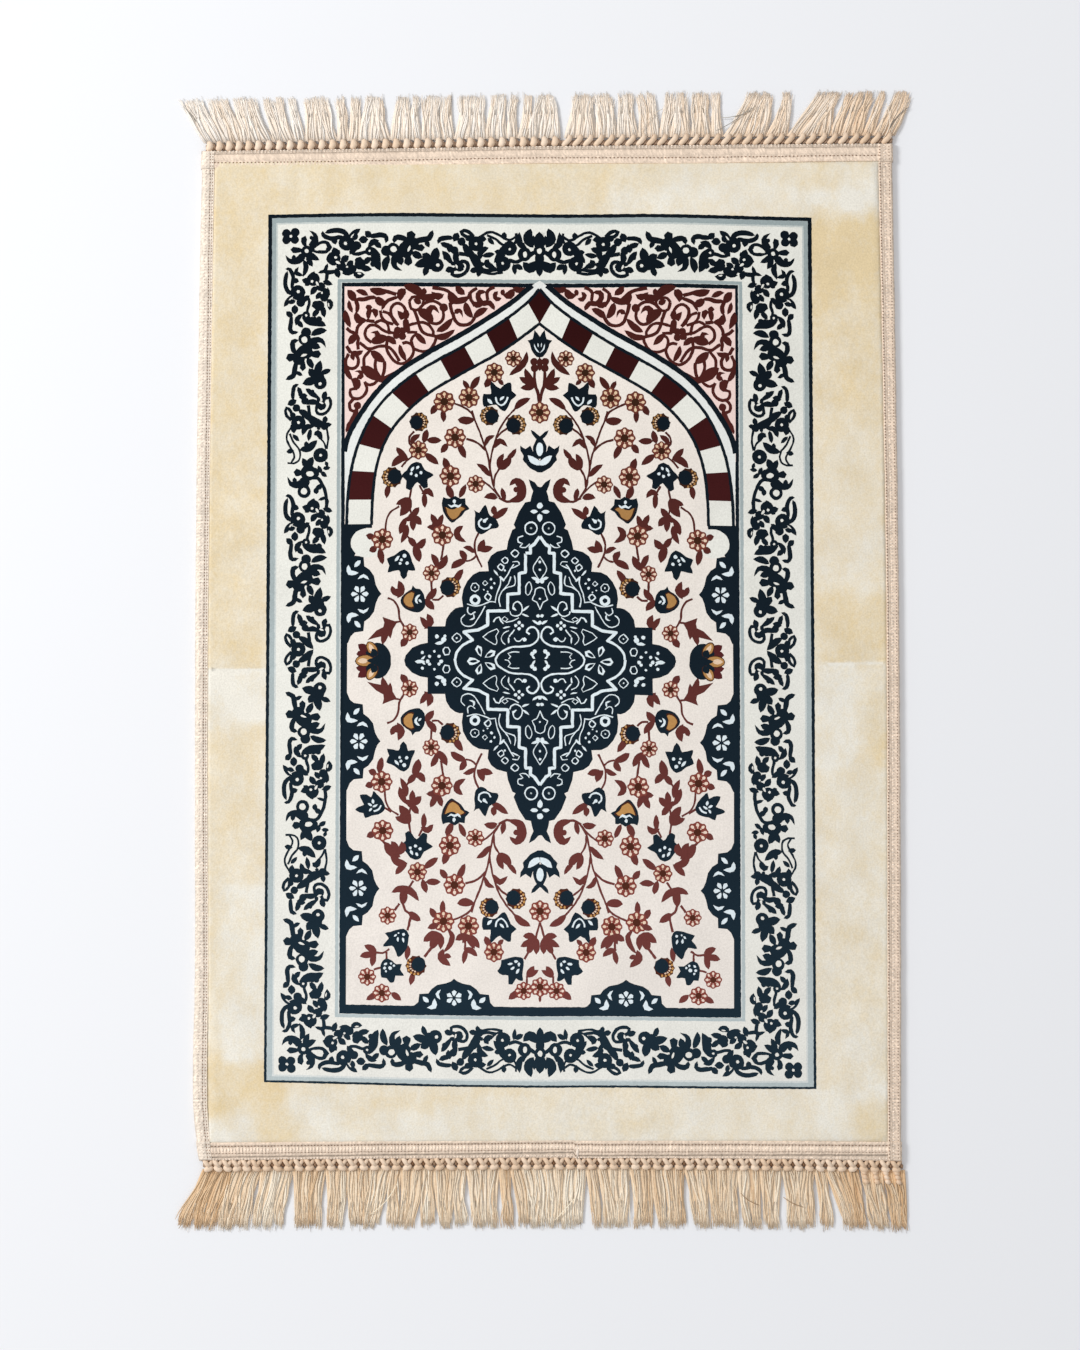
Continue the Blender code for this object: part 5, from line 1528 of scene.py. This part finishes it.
# ------------------------------------------------------------------- fringes
# A row of 65 tassels along each end. At the far end each hangs from a rolled
# loop; at the near end two short cords cross into a round knot. Each tassel is
# a bunch of soft yarns, cut a little unevenly, and it lies the way it fell.

TASSELS = 65
TASSEL_PITCH = 0.700 / TASSELS
# A dark brown tone for the painted shadows in the hollows beside the loops and knots.
HOLLOW_SHADOW_TONE = (0.500, 0.370, 0.270)
PALE_KNOT, DEEP_KNOT = (0.955, 0.880, 0.800), (0.850, 0.725, 0.600)
WISP_TONE = (0.60, 0.55, 0.49)
# How far the tips have fallen to the right of their roots, in mm, from the left one on.
TOP_LEANS = (
    -25, -22, -18, -16, -16, -15, -18, -18, -15, -8, -8, -8, -8, -5, 0, 3, -4, -8, 0, -3, 0, -4, -5, 0, 0,
    0, -1, 2, 0, 0, 4, 3, 0, -4, 8, 5, 4, 0, 0, 4, -3, 0, -6, 7, 9, -1, 0, 0, -1, 26, 22, 18, 11, 18, 9,
    33, 33, 26, 7, 19, 16, 17, 20, 22, 21,
)
BOTTOM_LEANS = (
    -24, -20, -17, -15, -14, -15, -10, -10, -7, -10, -4, -3, -5, 0, -7, 0, -1, -5, -9, -3, -6, -6, -2, 0,
    -2, 0, 2, 0, 0, -2, 4, 6, 3, 0, 2, 0, -3, 0, 4, 5, 4, 0, 0, -2, -1, 2, 8, 4, 9, 4, 3, 1, 1, 7, 1, 4,
    -2, 4, 2, 1, 0, 10, 15, 12, 12, 11, 10, 10, 12,
)


# Loose yarns: where each starts, bends and ends, in mm, and its tone.
FAR_STRAYS = (
    ((345, 526, 2.5), (352, 545, 4.5), (366, 552, 3), (0.50, 0.49, 0.48)),
    ((340, 520, 5), (352, 534, 6), (343, 556, 5), (0.99, 0.93, 0.85)),
    ((-346, 530, 2.5), (-358, 548, 3), (-366, 554, 2), (0.66, 0.64, 0.60)),
    ((170, 528, 3), (190, 536, 5), (206, 552, 4), (0.62, 0.60, 0.57)),
    ((176, 542, 3), (196, 541, 4), (212, 554, 4), (0.70, 0.67, 0.62)),
    ((96, 528, 5), (104, 545, 6), (118, 551, 4), (0.90, 0.84, 0.76)),
)
NEAR_STRAYS = (
    ((26, -538, 5), (18, -548, 6), (6, -560, 4), (1.0, 0.95, 0.85)),
    ((-150, -524, 5), (-158, -542, 6), (-176, -554, 4), (1.0, 0.95, 0.85)),
    ((190, -534, 5), (196, -542, 6), (208, -546, 4), (0.62, 0.50, 0.38)),
    ((232, -538, 5), (240, -545, 6), (252, -548, 4), (0.66, 0.54, 0.42)),
    ((-352, -540, 2), (-360, -560, 2), (-366, -568, 2), (0.70, 0.62, 0.52)),
)


def tube(path, radii, sides, tone, flat=1.0):
    """Adds a closed tube along a path, in millimetres, as thick as its radii, or lower where it is flat."""
    first = len(points)
    last = len(path) - 1
    for n, spot in enumerate(path):
        ahead = (path[min(n + 1, last)] - path[max(n - 1, 0)]).normalized()
        side = ahead.cross(Vector((0, 0, 1))).normalized()
        up = side.cross(ahead)
        for k in range(sides):
            a = 2 * math.pi * (k + 0.25) / sides
            p = spot + radii[n] * (side * math.cos(a) + up * math.sin(a) * flat)
            points.append((p.x / 1000, p.y / 1000, max(p.z, 0.12) / 1000))
            tones.append(tone[n] if isinstance(tone, list) else tone)
    for n in range(last):
        here, there = first + n * sides, first + (n + 1) * sides
        for k in range(sides):
            m = (k + 1) % sides
            faces.append([here + k, here + m, there + m, there + k])
    faces.append([first + k for k in range(sides)][::-1])
    faces.append([first + last * sides + k for k in range(sides)])


def shaded(pale, deep, share, root_shade=1.0):
    """A tone between the palest and the deepest yarn, dimmed by painted shade."""
    share = max(0.0, min(1.0, share))
    return tuple((a + (b - a) * share) * root_shade for a, b in zip(pale, deep))


def far_loop(at, share, tone, shade):
    """The rolled loop of a far tassel, with a dark tube beside it as the painted shadow in its hollow. Gives
    where its yarns start.
    """
    if share < 0.05:
        rolled = ((-4.0, 0.4, 2.8), (-2.4, 2.0, 3.4), (-1.1, 4.2, 3.8), (-1.6, 6.6, 3.5), (-2.2, 9.2, 2.7))
        shadow_tube = ((1.6, 8.0, 3.0), (2.9, 5.6, 3.5), (3.2, 3.2, 3.5), (2.2, 1.2, 3.2))
        tube([at(*p) for p in rolled], (2.4, 3.5, 3.7, 3.3, 2.2), 8, tone, 0.9)
        tube([at(*p) for p in shadow_tube], (0.6, 1.1, 1.1, 0.6), 5, shade)
        return at(-1.8, 7.6, 3.0)
    rolled = ((-4.8, 0.2, 2.8), (-2.8, 1.8, 3.7), (-0.2, 4.2, 4.2), (2.2, 7.0, 3.9), (3.0, 10.5, 3.0))
    shadow_tube = ((2.0, 0.6, 2.9), (3.9, 2.1, 3.2), (5.4, 4.6, 2.9))
    tube([at(*p) for p in rolled], (1.9, 2.7, 2.9, 2.7, 2.2), 8, tone)
    tube([at(*p) for p in shadow_tube], (0.9, 1.5, 0.9), 5, shade)
    return at(2.4, 7.8, 3.0)


def near_knot(at, share, tone, shade):
    """Two cords that cross into a round knot, with a dark tube beside them as the painted shadow in the
    hollow. Gives where the yarns start.
    """
    left = [at(-4.6, -1.2, 3.2), at(-2.6, 1.6, 3.8), at(0.9, 6.4, 3.8)]
    right = [at(4.4, -1.2, 3.0), at(2.4, 2.2, 3.5), at(-1.6, 6.2, 3.4)]
    tube(left, (2.3, 2.5, 2.6), 6, tone)
    # The right cord a little toward the hollow's tone: painted shade.
    tube(right, (1.9, 2.1, 2.2), 6, shaded(tone, shade, 0.12))
    shadow_tube = [at(3.9, 2.0, 1.8), at(5.0, 4.1, 2.6), at(5.8, 6.8, 1.8)]
    tube(shadow_tube, (0.9, 2.0, 1.0), 5, shade)
    tilt = chance.uniform(-2.6, 1.4)
    knot = [
        at(-3.9, 7.5 - tilt, 2.9), at(-2.6, 7.6 - 0.6 * tilt, 3.3), at(-0.2, 7.9, 3.7),
        at(2.5, 8.1 + 0.6 * tilt, 3.3), at(3.7, 8.2 + tilt, 2.9),
    ]
    tube(knot, (1.6, 2.7, 3.2, 2.8, 1.7), 8, tone)
    if share < 0.9:
        return at(-0.3, 9.4, 2.8)
    for turn in range(3):
        out = 11.2 + 4.4 * turn
        lump = [at(-1.6 + turn, out - 1.6, 2.8), at(0.2 + turn, out, 3.4), at(2.0 + turn, out + 1.8, 2.8)]
        tube(lump, (1.8, 2.6, 1.8), 7, tone)
    return at(2.6, 21.5, 2.8)


def far_tones(n, share, own):
    """How deep the yarns and the loop of a far tassel are dyed, deeper toward the right."""
    yarns = 0.19 + 0.16 * chance.random() + 0.5 * max(0.0, (share - 0.1) / 0.9)
    return yarns, 0.2 + 0.4 * chance.random() + 0.3 * max(0.0, share)


def near_tones(n, share, own):
    """How deep the yarns and the knot of a near tassel are dyed, deeper at both corners."""
    yarns = 0.30 + 0.16 * chance.random() + own
    yarns += (0.4 if n < 3 else 0) + 0.45 * max(0.0, (share - 0.72) / 0.28)
    return yarns, 0.3 + 0.5 * chance.random()


def far_shade():
    """How light the painted shadow in a far loop's hollow is."""
    return 0.28


def near_shade():
    """How light the painted shadow in the hollow beside a near knot is."""
    return chance.uniform(0.0, 0.3)


# What sets the two fringes apart, with lengths in mm. way: 1 toward the arch and
# -1 away from it. groups: how many tassels may lie together. pull: how far each
# is drawn to its neighbours. stray: how far a tip may fall from its place.
# neck: half the width where the yarns start. settle: how soon they lean over.
# ragged: how far past the reach the longest may end, and how much less others do.
Fringe = namedtuple(
    "Fringe",
    "way name node reach leans pale deep groups pull stray hang depths shade spread neck settle ragged sway "
    "strays",
)
FRINGES = (
    Fringe(
        way=1, name="fringe_yarns_top", node="fringe_top", reach=55.0, leans=TOP_LEANS,
        pale=(1.000, 0.972, 0.935), deep=(0.935, 0.820, 0.695), groups=(1, 1, 2, 2, 3), pull=2.8, stray=1.0,
        hang=far_loop, depths=far_tones, shade=far_shade, spread=(1.9, 3.6), neck=3.5, settle=1.0,
        ragged=(0, 3.6), sway=2.1, strays=FAR_STRAYS,
    ),
    Fringe(
        way=-1, name="fringe_yarns_bottom", node="fringe_bottom", reach=69.0, leans=BOTTOM_LEANS,
        pale=(1.000, 0.960, 0.885), deep=(0.855, 0.695, 0.520), groups=(1, 2, 3, 3, 4), pull=1.7, stray=2.4,
        hang=near_knot, depths=near_tones, shade=near_shade, spread=(2.8, 4.8), neck=3.7, settle=1.35,
        ragged=(0.8, 5.6), sway=2.9, strays=NEAR_STRAYS,
    ),
)
CORE_RADII = (1.3, 1.5, 1.4, 1.2, 0.5)
YARN_RADII = (0.6, 0.78, 0.84, 0.84, 0.78, 0.66, 0.5, 0.22)
CLUMPS = 5
YARNS_IN_CLUMP = 8
FRAYED_SHARE = 0.2
LEAST_HEIGHT = 0.45


def tassel_heart(at, start_x, lean, spread, bend, tone):
    """The thick middle strands, which keep the floor from showing between a tassel's yarns."""
    for across in (-1.0, -0.5, 0.0, 0.5, 1.0):
        strand = []
        for s in (0, 0.25, 0.5, 0.75, 1):
            x = (start_x + (fringe.neck + 1.1) * across) * (1 - s) + (lean + 0.8 * spread * across) * s
            out = (fringe.reach - 6) * s + 8.5 * (1 - s)
            strand.append(at(x + bend * math.sin(math.pi * s), out, 2.2 - 1.0 * s))
        tube(strand, CORE_RADII, 5, tone, 0.5)


def clump(start, edge, lean, spread, bend, depth_of_tone, n):
    """One of the bunches of fine yarns in a tassel, each yarn with its own length, wave and tone."""
    across = (n + 0.5) / 2.5 - 1 + chance.uniform(-0.15, 0.15)
    first_x = start.x + fringe.neck * across
    tip_x = edge.x + lean + spread * across + chance.uniform(-1.7, 1.7)
    beyond, shorter = fringe.ragged
    reach = fringe.reach + beyond - shorter * chance.random()
    sway, phase = chance.uniform(0.6, fringe.sway), chance.uniform(0, 6.3)
    tone = depth_of_tone + chance.uniform(-0.16, 0.16)
    last = len(YARN_RADII) - 1
    for k in range(YARNS_IN_CLUMP):
        turn, off = 2 * math.pi * (k + chance.random()) / YARNS_IN_CLUMP, chance.uniform(0.3, 1.3)
        own_reach = reach - 7.5 * chance.random() ** 2.2
        own_phase = chance.uniform(0, 6.3)
        fray = chance.uniform(-3.8, 3.8) if chance.random() < FRAYED_SHARE else chance.uniform(-1.0, 1.0)
        path = []
        for m in range(last + 1):
            s = m / last
            bow = math.sin(math.pi * s)
            fallen = 1 - (1 - s) ** fringe.settle
            x = first_x + (tip_x - first_x) * fallen + bend * bow
            x += sway * math.sin(phase + 4.5 * s) * bow**0.7 + 0.8 * s * math.sin(own_phase + 8 * s)
            x += off * math.cos(turn) * (0.6 + 0.7 * s) + fray * s**2
            y = start.y + (edge.y + fringe.way * own_reach - start.y) * s
            z = 1.5 + (start.z - 1.5) * (1 - s) ** 1.6 + off * abs(math.sin(turn)) * (0.6 - 0.25 * s)
            path.append(Vector((x, y, max(LEAST_HEIGHT, z))))
        own_tone = tone + chance.uniform(-0.22, 0.22)
        # Each yarn is painted a little darker toward its root: painted shade where the yarns crowd.
        root_shades = [0.92 + 0.08 * min(1.0, 3 * m / last) for m in range(last + 1)]
        tube(path, YARN_RADII, 3, [shaded(fringe.pale, fringe.deep, own_tone, root_shade) for root_shade in root_shades], 0.5)


def wisp(at, lean):
    """A thin loose yarn that ends a little past the others."""
    aside = chance.uniform(-5.5, 5.5)
    far_out = fringe.reach + chance.uniform(-1.5, 2.2)
    path = [
        at(aside * 0.3 + lean * 0.55, fringe.reach * 0.6, 2.6),
        at(aside * 0.8 + lean * 0.85, fringe.reach * 0.85, 1.6),
        at(aside + lean, far_out, 0.9),
    ]
    tube(path, (0.24, 0.26, 0.16), 3, shaded(fringe.pale, WISP_TONE, chance.uniform(0.2, 1.0)))


soft_yarn = yarn_material("fringe_yarn", 0.7, 420, 0.0001, 0.94)
chance = random.Random(11)
for fringe in FRINGES:
    points, tones, faces = [], [], []
    gathered = []
    while len(gathered) < TASSELS:
        size = chance.choice(fringe.groups)
        own = chance.uniform(-0.1, 0.16)
        gathered += [(k - (size - 1) / 2, own) for k in range(size)]
    for n in range(TASSELS):
        share = (n - (TASSELS - 1) / 2) / ((TASSELS - 1) / 2)
        root = share * (BODY_HALF_WIDTH - TASSEL_PITCH / 2 + 0.0006) + 0.0009 * max(0, 5 - n)
        edge = laid(root, BODY_MIDDLE_Y + fringe.way * BODY_HALF_LENGTH, 0) * 1000
        offset, own = gathered[n]
        lean = fringe.leans[round(n * (len(fringe.leans) - 1) / (TASSELS - 1))]
        lean += fringe.stray * chance.uniform(-1, 1) - fringe.pull * offset
        depth_of_tone, knot_depth = fringe.depths(n, share, own)

        def at(x, out, z):
            return Vector((edge.x + x, edge.y + fringe.way * out, z))

        # A flat strip under the loops or knots, in a deep tone: painted shade between them. The hollows get a
        # painted shadow tone too.
        back = [at(-5.7, 3.4, 1.5), at(0, 3.7, 1.6), at(5.7, 3.4, 1.5)]
        tube(back, (3.0, 3.1, 3.0), 6, shaded(HOLLOW_SHADOW_TONE, fringe.pale, 0.36), 0.45)
        hollow_shadow_tone = shaded(HOLLOW_SHADOW_TONE, fringe.pale, fringe.shade())
        start = fringe.hang(at, share, shaded(PALE_KNOT, DEEP_KNOT, knot_depth), hollow_shadow_tone)
        spread = chance.uniform(*fringe.spread)
        spread += 1.2 if fringe.way > 0 and share < -0.4 else 0
        spread += 2 if n < 3 else 0
        bend = chance.uniform(-1.8, 1.8)
        # The middle strands a little deeper than the yarns: painted shade under them.
        heart_tone = shaded(fringe.pale, fringe.deep, depth_of_tone + 0.08)
        tassel_heart(at, start.x - edge.x, lean, spread, bend, heart_tone)
        for k in range(CLUMPS):
            clump(start, edge, lean, spread, bend, depth_of_tone, k)
        for _ in range(2):
            wisp(at, lean)
    for *spots, tone in fringe.strays:
        a, b, c = (Vector(spot) for spot in spots)
        path = [a.lerp(b, s).lerp(b.lerp(c, s), s) for s in (0, 0.2, 0.4, 0.6, 0.8, 1)]
        tube(path, (0.35, 0.42, 0.45, 0.45, 0.4, 0.25), 4, tone)
    piece = yarn_piece(fringe.name, points, tones, faces)
    piece.data.materials.append(soft_yarn)
    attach(piece, "root")
    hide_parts(fringe.node)

# ------------------------------------------------------------ floor and light
bpy.ops.object.select_all(action="DESELECT")
bpy.ops.mesh.primitive_plane_add(size=8)
floor = bpy.context.object
floor.name = "floor"
paper = bpy.data.materials.new("pale_floor")
paper.use_nodes = True
paper.node_tree.nodes["Principled BSDF"].inputs["Base Color"].default_value = (0.84, 0.85, 0.87, 1)
paper.node_tree.nodes["Principled BSDF"].inputs["Roughness"].default_value = 0.9
floor.data.materials.append(paper)

WINDOW_AT = (-3.6, 1.3, 3.0)
bpy.ops.object.light_add(type="AREA", location=WINDOW_AT)
window = bpy.context.object
window.data.energy = 152
window.data.shape = "DISK"
window.data.size = 1.5
window.rotation_euler = Vector(WINDOW_AT).to_track_quat("Z", "Y").to_euler()
sky = bpy.data.worlds.new("studio")
sky.use_nodes = True
sky.node_tree.nodes["Background"].inputs["Color"].default_value = (0.985, 0.985, 1.0, 1)
sky.node_tree.nodes["Background"].inputs["Strength"].default_value = 0.655
bpy.context.scene.world = sky
bpy.context.scene.view_settings.view_transform = "Standard"

bpy.ops.object.camera_add(location=(-0.00769, -0.14909, 2.6), rotation=(0.04937, 0, -0.00233))
camera = bpy.context.object
camera.data.lens = 69.43
camera.data.sensor_width = 36
camera.data.clip_end = 20
bpy.context.scene.camera = camera
